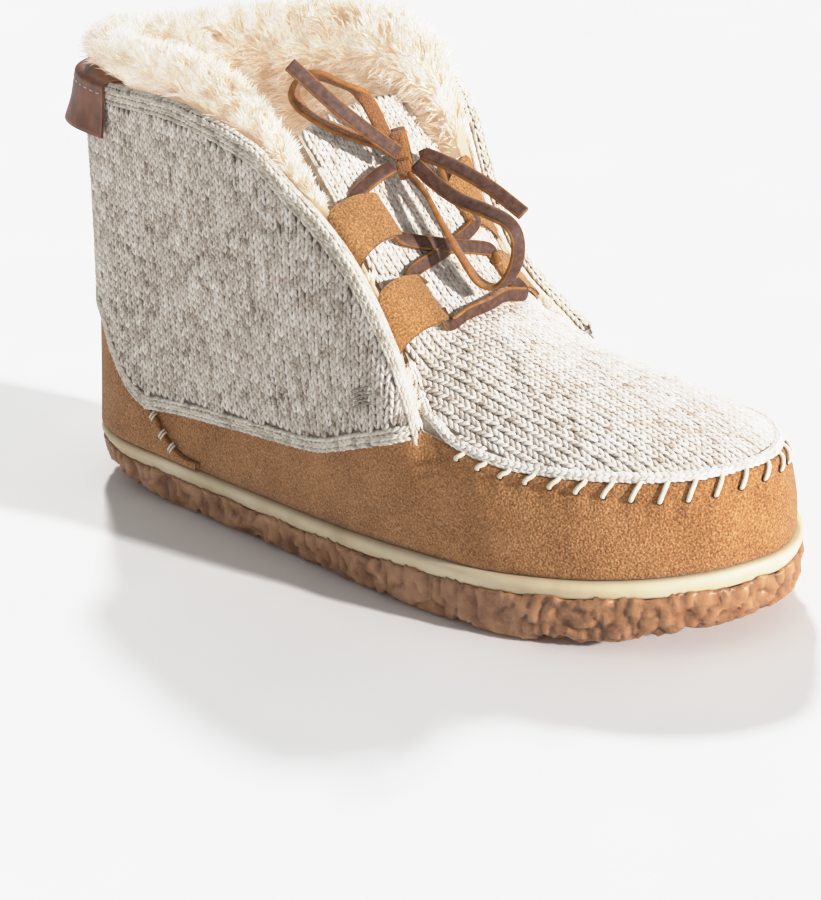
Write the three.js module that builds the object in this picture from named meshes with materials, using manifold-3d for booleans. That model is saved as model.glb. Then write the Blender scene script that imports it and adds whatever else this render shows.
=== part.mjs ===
// Mukluk boot, right shoe, with a moccasin toe, knitted quarters and a rolled fur collar.
// Millimetres, +X to the toe, +Y to the medial side, +Z up. Heights start at the floor.
import * as THREE from "three";
import { mergeVertices } from "three/addons/utils/BufferGeometryUtils.js";
import Module from "manifold-3d";

const wasm = await Module();
wasm.setup();

// Driving sizes of the sole
const soleLength = 270;
const ballWidth = 92;
const heelStack = 19;
const ballStack = 21.2;
const toeStack = 26.8;
const toeSpring = 8.8;
const heelRocker = 7.5;
const bandThickness = 6;
const soleInset = 3.3;
const lugDepth = 3;
const lugGrooveWidth = 4;
const lugPitch = 15;
const barkDepth = 1;
const heelRestX = 78;
const forefootRestX = 165;

// Driving sizes of the upper
const collarHeight = 139.5;
const ankleWidth = 70;
const seamHeight = 53;
const seamInset = 6;
const instepHeight = 83;
const tongueHeight = 142;
const featherInset = 2.4;
const upperWall = 2.4;
const knitWall = 2.6;
const plugWall = 4;
const counterWall = 1.8;
const furDepth = 8;
const furRise = 11;
const furReach = 45;
const insoleThickness = 4;
const fit = 0.3;

// Driving sizes of the trim
const tabWall = 1.8;
const laceWidth = 4.4;
const laceWall = 1.6;
const labelWall = 0.8;
const labelDrop = 15.5;

// Sampling
const STATIONS = 28;
const WALL_ROWS = 8;

const halfBall = ballWidth / 2;

// A table's column as a smooth function of its first column (monotone cubic).
function smooth(rows, column) {
  const x = rows.map((row) => row[0]);
  const y = rows.map((row) => row[column]);
  const slope = y.slice(1).map((v, i) => (v - y[i]) / (x[i + 1] - x[i]));
  const tangent = y.map((_, i) => {
    if (i === 0) return slope[0];
    if (i === y.length - 1) return slope[i - 1];
    if (slope[i - 1] * slope[i] <= 0) return 0;
    return (2 * slope[i - 1] * slope[i]) / (slope[i - 1] + slope[i]);
  });
  return (at) => {
    const s = Math.min(Math.max(at, x[0]), x[x.length - 1]);
    let i = 0;
    while (i < x.length - 2 && s > x[i + 1]) i += 1;
    const h = x[i + 1] - x[i];
    const t = (s - x[i]) / h;
    const a = y[i] * (1 + 2 * t) * (1 - t) ** 2;
    const b = y[i + 1] * t * t * (3 - 2 * t);
    return a + b + h * t * (1 - t) * (tangent[i] * (1 - t) - tangent[i + 1] * t);
  };
}

// Tables of half widths are read by station, so that heel and toe come out round.
function byStation(rows, column) {
  return smooth(
    rows.map((row) => [stationOf(row[0]), row[column]]),
    1,
  );
}

// Sole outline: share of the length, lateral and medial half widths as shares of half the ball width.
const OUTLINE = [
  [0, 0, 0],
  [0.01, 0.25, 0.22],
  [0.04, 0.46, 0.44],
  [0.1, 0.61, 0.62],
  [0.2, 0.68, 0.7],
  [0.35, 0.79, 0.66],
  [0.5, 0.93, 0.69],
  [0.62, 1.02, 0.82],
  [0.72, 1.06, 0.91],
  [0.82, 0.98, 0.94],
  [0.9, 0.8, 0.83],
  [0.96, 0.53, 0.54],
  [0.99, 0.24, 0.25],
  [1, 0, 0],
];
const halfShare = { lateral: byStation(OUTLINE, 1), medial: byStation(OUTLINE, 2) };
const sideName = (side) => (side < 0 ? "lateral" : "medial");

// Height of the band's top and of the sole's underside along the length.
const bandTop = smooth(
  [
    [0, heelStack],
    [0.3, heelStack - 1.5],
    [0.68, ballStack],
    [0.85, ballStack + 2.5],
    [1, toeStack],
  ],
  1,
);
function underside(t) {
  const toe = Math.max(0, (t - 0.72) / 0.28);
  const heel = Math.max(0, (0.2 - t) / 0.2);
  return toeSpring * toe ** 1.7 + heelRocker * heel ** 1.8;
}

// The foot's middle line swings to the medial side in front of the ball.
const toeSwing = 6;
function middle(t) {
  return toeSwing * Math.max(0, (t - 0.5) / 0.5) ** 1.5;
}

// A station's share of the length, packed closely at heel and toe.
function stationShare(a) {
  return (1 - Math.cos(Math.PI * a)) / 2;
}

// The station at which a sole share lies.
function stationOf(t) {
  return Math.acos(1 - 2 * t) / Math.PI;
}

// Point of the sole's outline, side -1 lateral or 1 medial, moved in by an inset.
function outlinePoint(a, side, inset) {
  const at = (b) => {
    const c = Math.min(Math.max(b, 0), 1);
    const t = stationShare(c);
    return [soleLength * t, middle(t) + side * halfBall * halfShare[sideName(side)](c)];
  };
  const [x, y] = at(a);
  if (!inset) return [x, y];
  if (a <= 0) return [x + inset, y];
  if (a >= 1) return [x - inset, y];
  const [x0, y0] = at(a - 0.01);
  const [x1, y1] = at(a + 0.01);
  const run = Math.hypot(x1 - x0, y1 - y0);
  return [x + (side * (y1 - y0) * inset) / run, y - (side * (x1 - x0) * inset) / run];
}

// Rims of the two flaps: sole share, then x over the length, half width over half the ankle width and
// height over the collar height. The first rows run along the collar, the last down the flap's front edge.
const LATERAL_RIM = [
  [0, 0.028, 0, 1],
  [0.012, 0.033, 0.17, 1],
  [0.04, 0.058, 0.34, 0.997],
  [0.1, 0.113, 0.51, 0.996],
  [0.18, 0.187, 0.68, 1.008],
  [0.26, 0.26, 0.83, 1.018],
  [0.34, 0.337, 0.96, 1.006],
  [0.41, 0.4, 1.02, 0.977],
  [0.47, 0.456, 1.03, 0.9],
  [0.52, 0.507, 1.05, 0.83],
  [0.56, 0.548, 1.09, 0.76],
  [0.59, 0.582, 1.12, 0.675],
  [0.615, 0.606, 1.15, 0.6],
  [0.635, 0.623, 1.17, 0.51],
  [0.652, 0.64, 1.18, 0.43],
];
const MEDIAL_RIM = [
  [0, 0.028, 0, 1],
  [0.012, 0.033, 0.17, 1],
  [0.04, 0.058, 0.36, 1.003],
  [0.1, 0.113, 0.58, 1.012],
  [0.18, 0.187, 0.76, 1.035],
  [0.27, 0.28, 0.88, 1.065],
  [0.35, 0.36, 0.94, 1.08],
  [0.41, 0.415, 0.97, 1.075],
  [0.46, 0.455, 0.98, 1.045],
  [0.5, 0.482, 0.98, 0.99],
  [0.53, 0.5, 0.97, 0.92],
  [0.555, 0.52, 0.96, 0.79],
  [0.58, 0.55, 0.97, 0.655],
  [0.605, 0.585, 1.0, 0.57],
  [0.63, 0.615, 1.05, 0.515],
  [0.652, 0.64, 1.1, 0.465],
];
const rims = {
  lateral: [smooth(LATERAL_RIM, 1), byStation(LATERAL_RIM, 2), smooth(LATERAL_RIM, 3)],
  medial: [smooth(MEDIAL_RIM, 1), byStation(MEDIAL_RIM, 2), smooth(MEDIAL_RIM, 3)],
};
const flapEnd = 0.652;

// Toe seam: sole share, lateral and medial height over the seam height.
const SEAM = [
  [0.652, 1.094, 1.12],
  [0.68, 1.057, 1.06],
  [0.72, 1.02, 1.0],
  [0.78, 0.992, 0.955],
  [0.86, 0.992, 0.935],
  [0.94, 0.99, 0.94],
  [1, 1, 1],
];
const seamRise = { lateral: smooth(SEAM, 1), medial: smooth(SEAM, 2) };

// Point of the toe seam, which follows the sole's outline at an inset.
function seamPoint(t, side, inset) {
  const [x, y] = outlinePoint(stationOf(t), side, inset);
  return [x, y, seamHeight * seamRise[sideName(side)](t)];
}

// Point of the rim: along the collar and the flap's edge, then along the toe seam.
function rimPoint(t, side) {
  const [along, half, rise] = rims[sideName(side)];
  const flap = (s) => [soleLength * along(s), (side * half(stationOf(s)) * ankleWidth) / 2, collarHeight * rise(s)];
  if (t <= flapEnd) return flap(t);
  const k = Math.min((t - flapEnd) / 0.02, 1);
  const seam = seamPoint(t, side, seamInset);
  const end = flap(flapEnd);
  return seam.map((value, i) => (k < 1 ? end[i] + (value - end[i]) * k : value));
}

// Outward belly of the wall: sole share, low belly and high belly in shares of the ball width.
const BELLY = [
  [0, -0.015, 0],
  [0.05, -0.015, 0],
  [0.2, -0.02, 0.01],
  [0.4, 0, 0.03],
  [0.6, 0.02, 0.02],
  [0.7, 0.02, 0],
  [0.85, 0.02, 0],
  [1, 0.018, 0],
];
const lowBelly = smooth(BELLY, 1);
const highBelly = smooth(BELLY, 2);

// Point of the last's surface, from the feather line (v = 0) to the rim (v = 1).
function lastPoint(a, side, v) {
  const t = stationShare(a);
  const [fx, fy] = outlinePoint(a, side, featherInset);
  const fz = bandTop(t) + fit;
  const [rx, ry, rz] = rimPoint(t, side);
  const [ox, oy] = outlinePoint(a, side, featherInset - 1);
  const out = ballWidth * (lowBelly(t) * 4 * v * (1 - v) + highBelly(t) * 4 * v * v * (1 - v));
  const x = fx + (rx - fx) * v + (ox - fx) * out;
  const y = fy + (ry - fy) * v + (oy - fy) * out;
  return new THREE.Vector3(x, y, fz + (rz - fz) * v);
}

// Outward normal of the last's surface.
function lastNormal(a, side, v) {
  const d = 0.012;
  const a0 = Math.max(a - d, 0);
  const a1 = Math.min(a + d, 1);
  const v0 = Math.max(v - d, 0);
  const v1 = Math.min(v + d, 1);
  const along = lastPoint(a1, side, v).sub(lastPoint(a0, side, v));
  if (a - d < 0) along.copy(lastPoint(a1, side, v).sub(lastPoint(a1, -side, v)));
  if (a + d > 1) along.copy(lastPoint(a0, -side, v).sub(lastPoint(a0, side, v)));
  const up = lastPoint(a, side, v1).sub(lastPoint(a, side, v0));
  const normal = side < 0 ? along.cross(up) : up.cross(along);
  return normal.normalize();
}

// Wall direction at the rim, used where the fur rises over it.
function rimUp(a, side) {
  return lastPoint(a, side, 1).sub(lastPoint(a, side, 0.9)).normalize();
}

// Point beside the last's surface. Behind the ankle's core an inner offset heads for the core, so that
// the two sides don't cross where the back is narrow.
const coreX = 48;
function offsetPoint(a, side, v, offset) {
  const point = lastPoint(a, side, v);
  const normal = lastNormal(a, side, v);
  if (offset >= 0 || point.x >= coreX) return point.addScaledVector(normal, offset);
  const inward = new THREE.Vector3(coreX, 0, point.z).sub(point).normalize();
  const slant = Math.max(-inward.dot(normal), 0.7);
  const plain = point.clone().addScaledVector(normal, offset);
  const aimed = point.addScaledVector(inward, -offset / slant);
  const blend = Math.min((coreX - plain.x) / (coreX / 2), 1);
  return plain.lerp(aimed, blend);
}

// Share v at which the wall crosses a height given as a function of x.
function shareAtHeight(a, side, heightAt) {
  let low = 0;
  let high = 1;
  for (let i = 0; i < 30; i += 1) {
    const v = (low + high) / 2;
    const p = lastPoint(a, side, v);
    if (p.z < heightAt(p.x)) low = v;
    else high = v;
  }
  return (low + high) / 2;
}

// Solid from rows of points: the rows close on each other, each row is open or closed.
function bandGeometry(rows, closedRow) {
  const count = rows[0].length;
  const positions = rows.flat().flatMap((p) => [p.x, p.y, p.z]);
  const index = [];
  const id = (r, i) => (r % rows.length) * count + (i % count);
  const steps = closedRow ? count : count - 1;
  for (let r = 0; r < rows.length; r += 1) {
    for (let i = 0; i < steps; i += 1) {
      index.push(id(r, i), id(r, i + 1), id(r + 1, i + 1));
      index.push(id(r, i), id(r + 1, i + 1), id(r + 1, i));
    }
  }
  if (!closedRow) {
    for (const end of [0, count - 1]) {
      for (let k = 0; k < rows.length / 2 - 1; k += 1) {
        const quad = [k, k + 1, rows.length - 2 - k, rows.length - 1 - k].map((r) => id(r, end));
        if (end === 0) quad.reverse();
        index.push(quad[0], quad[3], quad[2], quad[0], quad[2], quad[1]);
      }
    }
  }
  const geometry = new THREE.BufferGeometry();
  geometry.setAttribute("position", new THREE.Float32BufferAttribute(positions, 3));
  geometry.setIndex(index);
  return facedOut(geometry);
}

// The same surface with its faces turned to point out.
function facedOut(geometry) {
  const p = geometry.getAttribute("position");
  const index = geometry.getIndex().array;
  const [a, b, c] = [new THREE.Vector3(), new THREE.Vector3(), new THREE.Vector3()];
  let volume = 0;
  for (let i = 0; i < index.length; i += 3) {
    a.fromBufferAttribute(p, index[i]);
    b.fromBufferAttribute(p, index[i + 1]);
    c.fromBufferAttribute(p, index[i + 2]);
    volume += a.dot(b.cross(c));
  }
  if (volume < 0) {
    const turned = Array.from(index);
    for (let i = 0; i < turned.length; i += 3) {
      [turned[i + 1], turned[i + 2]] = [turned[i + 2], turned[i + 1]];
    }
    geometry.setIndex(turned);
  }
  return geometry;
}

function solidOf(geometry) {
  const plain = new THREE.BufferGeometry();
  plain.setAttribute("position", geometry.getAttribute("position"));
  if (geometry.getIndex()) plain.setIndex(geometry.getIndex());
  const merged = mergeVertices(plain, 1e-4);
  return new wasm.Manifold(
    new wasm.Mesh({
      numProp: 3,
      vertProperties: merged.getAttribute("position").array,
      triVerts: new Uint32Array(merged.getIndex().array),
    }),
  );
}

function mergedGeometry(geometry) {
  return geometryOf(solidOf(geometry));
}

function geometryOf(solid) {
  const mesh = solid.getMesh();
  const geometry = new THREE.BufferGeometry();
  geometry.setAttribute("position", new THREE.BufferAttribute(mesh.vertProperties, 3));
  geometry.setIndex(new THREE.BufferAttribute(mesh.triVerts, 1));
  return geometry;
}

// Once round the shoe: heel, lateral side, toe, medial side.
function roundTrip(places) {
  const inner = places.slice(1, -1);
  return [
    [places[0], -1],
    ...inner.map((a) => [a, -1]),
    [places[places.length - 1], -1],
    ...inner.reverse().map((a) => [a, 1]),
  ];
}

function evenPlaces(count) {
  return Array.from({ length: count + 1 }, (_, i) => i / count);
}

// Stations of the wall: even ones, and more where the flap's edge falls steeply.
const STEEP_SHARES = [0.545, 0.575, 0.6, 0.62, 0.637, 0.652, 0.672];
const wallPlaces = evenPlaces(STATIONS)
  .filter((a) => a < stationOf(0.53) || a > stationOf(0.69))
  .concat(STEEP_SHARES.map(stationOf))
  .sort((a, b) => a - b);

// Solid from closed rings between two flat-across caps, whose faces span lateral to medial points.
function cappedRings(rings) {
  const count = rings[0].length;
  const half = count / 2;
  const positions = rings.flat().flatMap((p) => [p.x, p.y, p.z]);
  const index = [];
  for (let r = 0; r < rings.length - 1; r += 1) {
    for (let i = 0; i < count; i += 1) {
      const j = (i + 1) % count;
      const [p, q] = [r * count, (r + 1) * count];
      index.push(p + i, p + j, q + j, p + i, q + j, q + i);
    }
  }
  for (const [start, turn] of [
    [0, true],
    [(rings.length - 1) * count, false],
  ]) {
    const across = (i) => start + ((count - i) % count);
    const face = (x, y, z) => index.push(...(turn ? [x, z, y] : [x, y, z]));
    for (let i = 0; i < half; i += 1) {
      const corners = [start + i, start + i + 1, across(i + 1), across(i)];
      if (i > 0) face(corners[0], corners[1], corners[3]);
      if (i < half - 1) face(corners[1], corners[2], corners[3]);
    }
  }
  const geometry = new THREE.BufferGeometry();
  geometry.setAttribute("position", new THREE.Float32BufferAttribute(positions, 3));
  geometry.setIndex(index);
  return facedOut(geometry);
}

// A ring of the sole with an inset and a height that follows the length.
function soleRing(inset, heightAt, count) {
  return roundTrip(evenPlaces(count)).map(([a, side], i) => {
    const depth = typeof inset === "function" ? inset(i) : inset;
    const [x, y] = outlinePoint(a, side, depth);
    return new THREE.Vector3(x, y, heightAt(stationShare(a)));
  });
}

// Outsole: bark-like ribs on the side, tread grooves cut into the underside.
function outsoleGeometry() {
  const count = 36;
  const top = (t) => bandTop(t) - bandThickness - fit;
  const level = (k) => (t) => underside(t) + (top(t) - underside(t)) * k;
  const bark = (phase) => (i) => barkDepth * Math.sin(i * 2.4 + phase);
  const rings = [
    soleRing(soleInset + 4, level(0), count),
    soleRing(soleInset, level(0.04), count),
    soleRing((i) => 1.2 + bark(0)(i), level(0.3), count),
    soleRing((i) => 0.6 + bark(2)(i), level(0.65), count),
    soleRing((i) => 0.2 + 0.4 * bark(4)(i), level(1), count),
  ];
  let solid = solidOf(cappedRings(rings));
  const depth = ballWidth * 1.6;
  const grooves = Math.floor((soleLength - 2 * lugPitch) / lugPitch);
  for (let i = 0; i <= grooves; i += 1) {
    const x = lugPitch * (i + 1);
    const restHere = Math.abs(x - heelRestX) < lugPitch * 0.6 || Math.abs(x - forefootRestX) < lugPitch * 0.6;
    if (restHere) continue;
    const z = underside(x / soleLength) + lugDepth / 2 - 1;
    const cut = new THREE.BoxGeometry(lugGrooveWidth, depth, lugDepth + 2);
    cut.rotateZ((i % 2 ? 1 : -1) * 0.12);
    cut.translate(x, 0, z);
    solid = solid.subtract(solidOf(cut));
  }
  return geometryOf(solid);
}

function midsoleGeometry() {
  const edge = 1;
  const low = (t) => bandTop(t) - bandThickness;
  return cappedRings([
    soleRing(edge, low, 30),
    soleRing(0, (t) => low(t) + edge, 30),
    soleRing(0, (t) => bandTop(t) - edge, 30),
    soleRing(edge, bandTop, 30),
  ]);
}

function insoleGeometry() {
  const inset = featherInset + upperWall + 1.6;
  const low = (t) => bandTop(t) + fit;
  const high = (t) => bandTop(t) + fit + insoleThickness;
  return cappedRings([soleRing(inset, low, 24), soleRing(inset, high, 24)]);
}

// Upper: one hollow wall from the feather line to the rim.
function upperGeometry() {
  const stops = roundTrip(wallPlaces);
  const rows = [];
  for (let r = 0; r <= WALL_ROWS; r += 1) {
    rows.push(stops.map(([a, side]) => lastPoint(a, side, r / WALL_ROWS)));
  }
  for (let r = WALL_ROWS; r >= 0; r -= 1) {
    rows.push(stops.map(([a, side]) => offsetPoint(a, side, r / WALL_ROWS, -upperWall)));
  }
  return bandGeometry(rows, true);
}

// Height of the counter's top edge and of the quarter's lower edge along the length.
const COUNTER_EDGE = [
  [0, 0.45],
  [0.02, 0.37],
  [0.045, 0.3],
  [0.1, 0.255],
  [0.13, 0.23],
  [0.215, 0.13],
];
const counterEdge = smooth(COUNTER_EDGE, 1);
const QUARTER_EDGE = [
  [0, 0.2],
  [0.12, 0.235],
  [0.23, 0.265],
  [0.37, 0.295],
  [0.485, 0.32],
  [0.56, 0.37],
  [0.65, 0.43],
];
const quarterEdge = smooth(QUARTER_EDGE, 1);
const counterTop = (x) => collarHeight * counterEdge(x / soleLength);
const quarterLow = (x) => Math.max(collarHeight * quarterEdge(x / soleLength), counterTop(x) + 2 * fit);

// Stations of the wall's own spacing on one side, from one place to another.
function sideStops(first, last, side) {
  const inner = wallPlaces.filter((a) => a > first + 0.004 && a < last - 0.004);
  return [first, ...inner, last].map((a) => [a, side]);
}

// Stations from the lateral side round the heel to the medial side.
function heelStops(last) {
  return [...sideStops(0, last, -1).reverse(), ...sideStops(0, last, 1).slice(1)];
}

// Overlay on the outside of the wall between two heights, from one station to another.
function overlayGeometry(stops, lowAt, highAt, wall, rowsUp) {
  const rows = [];
  const share = (stop, k) => {
    const low = lowAt(...stop);
    return low + (highAt(...stop) - low) * k;
  };
  for (const [offset, order] of [
    [fit + wall, (r) => r],
    [fit, (r) => rowsUp - r],
  ]) {
    for (let r = 0; r <= rowsUp; r += 1) {
      rows.push(stops.map((stop) => offsetPoint(...stop, share(stop, order(r) / rowsUp), offset)));
    }
  }
  return bandGeometry(rows, false);
}

const backGap = 0.0012;
function quarterGeometry(side) {
  const last = stationOf(flapEnd);
  const first = stationOf(backGap);
  const stops = sideStops(first, last, side);
  const low = (a, s) => Math.min(shareAtHeight(a, s, quarterLow), 0.97);
  return overlayGeometry(stops, low, () => 1, knitWall, 7);
}

function counterGeometry() {
  const stops = heelStops(stationOf(0.2));
  const high = (a, s) => Math.max(shareAtHeight(a, s, counterTop), 0.02);
  return overlayGeometry(stops, () => 0.005, high, counterWall, 3);
}

// Fur lining: a deep band inside the wall, rolled over the rim, thinner down the flaps' edges.
const FUR_SECTION = [
  [0, -1],
  [0, -0.5],
  [0, -0.04],
  [0, 0.06],
  [0.1, 0.3],
  [0.0, 0.8],
  [-0.5, 1],
  [-1.05, 0.7],
  [-1.25, 0.1],
  [-1.1, -0.35],
  [-1, -1],
];
const furFullness = smooth(
  [
    [0, 1],
    [0.32, 1],
    [0.42, 0.7],
    [0.48, 0.5],
    [0.55, 0.42],
    [0.65, 0.3],
  ],
  1,
);
function furPoint(a, side, across, up) {
  const full = furFullness(stationShare(a));
  const wallHeight = lastPoint(a, side, 1).distanceTo(lastPoint(a, side, 0));
  const reach = Math.min(furReach, wallHeight * 0.7);
  const v = up >= 0 ? 1 : 1 + (up * reach) / wallHeight;
  const root = offsetPoint(a, side, v, -upperWall - 1.7 * fit);
  const core = new THREE.Vector3(Math.max(root.x, coreX), 0, root.z);
  root.addScaledVector(core.sub(root).normalize(), -across * furDepth * full);
  if (up >= 0) root.addScaledVector(rimUp(a, side), up * furRise * full);
  return root;
}
function furGeometry() {
  const stops = heelStops(stationOf(0.622));
  const rows = FUR_SECTION.map(([across, up]) => stops.map((stop) => furPoint(...stop, across, up)));
  let solid = solidOf(bandGeometry(rows, false));
  const lockLength = furRise * 0.45;
  stops.forEach(([a, side], i) => {
    const full = furFullness(stationShare(a));
    if (i % 2 || full < 0.6) return;
    for (const [across, up] of [
      [-0.5, 0.95],
      [-1.1, 0.45],
    ]) {
      const root = furPoint(a, side, across, up);
      const inner = furPoint(a, side, -0.6, 0.2);
      const out = root.clone().sub(inner).normalize();
      const lock = new THREE.ConeGeometry(2.2, lockLength, 5);
      lock.translate(0, lockLength / 2 - 1, 0);
      lock.applyQuaternion(new THREE.Quaternion().setFromUnitVectors(new THREE.Vector3(0, 1, 0), out));
      lock.translate(root.x, root.y, root.z);
      solid = solid.add(solidOf(lock));
    }
  });
  for (const side of [-1, 1]) {
    for (const row of TABS) {
      for (const cell of plateCells(tabLines(row, side), tabWall)) solid = solid.subtract(cell);
    }
  }
  solid = solid.subtract(solidOf(plateGeometry(labelLines(2), labelWall + 4 * fit)));
  return geometryOf(solid);
}

// Half width of the tongue over half the ball width, by its share of the length.
const TONGUE = [
  [0.43, 0.54],
  [0.463, 0.55],
  [0.493, 0.56],
  [0.519, 0.57],
  [0.556, 0.58],
  [0.6, 0.62],
  [0.64, 0.72],
];
const tongueStart = TONGUE[0][0];
const tongueWidth = smooth(TONGUE, 1);

// Height of the plug's and tongue's middle line: down the tongue to the instep, then down to the toe.
const TONGUE_FALL = [
  [0.43, 1],
  [0.463, 0.8],
  [0.493, 0.61],
  [0.519, 0.47],
  [0.556, 0.27],
  [0.585, 0.12],
  [0.615, 0],
];
const PLUG_FALL = [
  [0.615, 1],
  [0.66, 0.88],
  [0.722, 0.7],
  [0.822, 0.48],
  [0.911, 0.24],
  [0.965, 0.07],
];
const tongueFall = smooth(TONGUE_FALL, 1);
const plugFall = smooth(PLUG_FALL, 1);
function crown(s) {
  if (s < TONGUE_FALL[TONGUE_FALL.length - 1][0]) {
    return instepHeight + (tongueHeight - instepHeight) * tongueFall(s);
  }
  return seamHeight + (instepHeight - seamHeight) * plugFall(s);
}

// Edge of the plug and tongue: free up to the flaps' foot, then inside the vamp's edge.
const tongueSag = 3;
const plugStart = 0.68;
const plugLift = 1.2;
function plugEdge(t, side) {
  const half = tongueWidth(t) * halfBall;
  const s = Math.min(t, TONGUE[TONGUE.length - 1][0]);
  const slack = Math.min(Math.max((t - 0.5) / 0.14, 0), 1);
  const free = new THREE.Vector3(soleLength * t, side * half, crown(s) - tongueSag - slack * 14);
  const k = Math.min(Math.max((t - 0.63) / (plugStart - 0.63), 0), 1);
  if (k === 0) return free;
  const [x, y, z] = seamPoint(t, side, seamInset + upperWall + 2 * fit);
  const sewn = new THREE.Vector3(x, y, z + plugLift);
  return free.lerp(sewn, k * k * (3 - 2 * k));
}
function plugPoint(t, across) {
  const [lateral, medial] = [plugEdge(t, -1), plugEdge(t, 1)];
  const point = lateral.clone().lerp(medial, (across + 1) / 2);
  const centre = (lateral.x + medial.x) / 2 / soleLength;
  const rise = Math.max(crown(centre) - (lateral.z + medial.z) / 2, 0.3);
  point.z += rise * (1 - Math.abs(across) ** 2.4);
  return point;
}
function plugOffset(t, across, offset) {
  const d = 0.004;
  const along = plugPoint(t + d, across).sub(plugPoint(t - d, across));
  const over = plugPoint(t, Math.min(across + 0.04, 1)).sub(plugPoint(t, Math.max(across - 0.04, -1)));
  return plugPoint(t, across).addScaledVector(along.cross(over).normalize(), offset);
}
function plugGeometry() {
  const count = 30;
  const lanes = 12;
  const last = 0.992;
  const stations = [];
  for (let i = 0; i <= count; i += 1) {
    stations.push(tongueStart + (last - tongueStart) * Math.sin((Math.PI / 2) * (i / count)));
  }
  const rows = [];
  for (let k = 0; k <= lanes; k += 1) rows.push(stations.map((t) => plugOffset(t, (2 * k) / lanes - 1, 0)));
  for (let k = lanes; k >= 0; k -= 1) {
    rows.push(
      stations.map((t) => {
        const point = plugPoint(t, (2 * k) / lanes - 1);
        const steep = plugOffset(t, (2 * k) / lanes - 1, -plugWall);
        const tip = Math.min(Math.max((t - 0.93) / 0.05, 0), 1);
        return steep.lerp(point.setZ(point.z - plugWall), tip);
      }),
    );
  }
  return bandGeometry(rows, false);
}

// Flat strip through chosen points, with its broad side facing a hint direction at each point.
function stripGeometry(points, hints, width, thick) {
  const curve = new THREE.CatmullRomCurve3(points.map((p) => new THREE.Vector3(...p)), false, "centripetal");
  const hintCurve = new THREE.CatmullRomCurve3(hints.map((p) => new THREE.Vector3(...p)), false, "centripetal");
  const steps = Math.max(3, Math.round(curve.getLength() / 6));
  const corner = 0.7;
  const section = [
    [0.5, -corner / 2],
    [0.5, corner / 2],
    [0.4, 0.5],
    [-0.4, 0.5],
    [-0.5, corner / 2],
    [-0.5, -corner / 2],
    [-0.4, -0.5],
    [0.4, -0.5],
  ];
  const rows = section.map(() => []);
  for (let i = 0; i <= steps; i += 1) {
    const at = curve.getPoint(i / steps);
    const tangent = curve.getTangent(i / steps);
    const face = hintCurve.getPoint(i / steps);
    face.addScaledVector(tangent, -face.dot(tangent)).normalize();
    const broad = tangent.clone().cross(face).normalize();
    section.forEach(([w, h], k) => {
      rows[k].push(at.clone().addScaledVector(broad, w * width).addScaledVector(face, h * thick));
    });
  }
  return bandGeometry(rows, false);
}

// The two faces of a plate of even thickness through cross lines of points.
function plateFaces(lines, thickness) {
  const normalAt = (i, j) => {
    const along = lines[Math.min(i + 1, lines.length - 1)][j].clone().sub(lines[Math.max(i - 1, 0)][j]);
    const row = lines[i];
    const over = row[Math.min(j + 1, row.length - 1)].clone().sub(row[Math.max(j - 1, 0)]);
    return along.cross(over).normalize();
  };
  return [thickness / 2, -thickness / 2].map((shift) =>
    lines.map((row, i) => row.map((point, j) => point.clone().addScaledVector(normalAt(i, j), shift))),
  );
}
function plateGeometry(lines, thickness) {
  const [top, under] = plateFaces(lines, thickness);
  return bandGeometry([...top, ...under.reverse()], false);
}

// The space round a plate, cell by cell, with the fit left free on every side.
function plateCells(lines, thickness) {
  const faces = plateFaces(lines, thickness);
  const cells = [];
  for (let i = 0; i < lines.length - 1; i += 1) {
    for (let j = 0; j < lines[0].length - 1; j += 1) {
      const corners = faces.flatMap((face) => [face[i][j], face[i][j + 1], face[i + 1][j], face[i + 1][j + 1]]);
      const cloud = corners.flatMap(({ x, y, z }) =>
        [-1, 1].flatMap((s) => [
          [x + s * 1.5 * fit, y, z],
          [x, y + s * 1.5 * fit, z],
          [x, y, z + s * 1.5 * fit],
        ]),
      );
      cells.push(wasm.Manifold.hull(cloud));
    }
  }
  return cells;
}

// Lace tab: sewn inside the flap's edge, over the fur and down to a fold that lies on the tongue.
// Each row: name, shares of the sole at the tab's two edges, and where its fold lies along the tongue.
const TABS = [
  ["lower", 0.588, 0.614, 0.571, 0.612],
  ["upper", 0.522, 0.559, 0.512, 0.544],
];
const foldHalf = 16.5;
const tabRoot = 6;
function tongueTop(s, side, half) {
  const across = (side * half) / (tongueWidth(s) * halfBall);
  return plugPoint(s, across);
}
function tabFold(s, side) {
  const point = tongueTop(s, side, foldHalf);
  point.z += tabWall / 2 + 2 * fit + 0.4;
  return point;
}
function tabLines(row, side) {
  const [, upperEdge, lowerEdge, upperFold, lowerFold] = row;
  const lines = [[], [], [], []];
  for (const k of [0, 0.5, 1]) {
    const a = stationOf(upperEdge + (lowerEdge - upperEdge) * k);
    const wallHeight = lastPoint(a, side, 1).distanceTo(lastPoint(a, side, 0));
    const depth = -(upperWall + fit + tabWall / 2 + 0.3);
    const root = offsetPoint(a, side, 1 - tabRoot / wallHeight, depth);
    const crest = offsetPoint(a, side, 1, depth).addScaledVector(rimUp(a, side), 1.6);
    const fold = tabFold(upperFold + (lowerFold - upperFold) * k, side);
    const middlePoint = crest.clone().lerp(fold, 0.5);
    middlePoint.z += 2.2;
    [root, crest, middlePoint, fold].forEach((point, i) => lines[i].push(point));
  }
  return lines;
}

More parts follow.
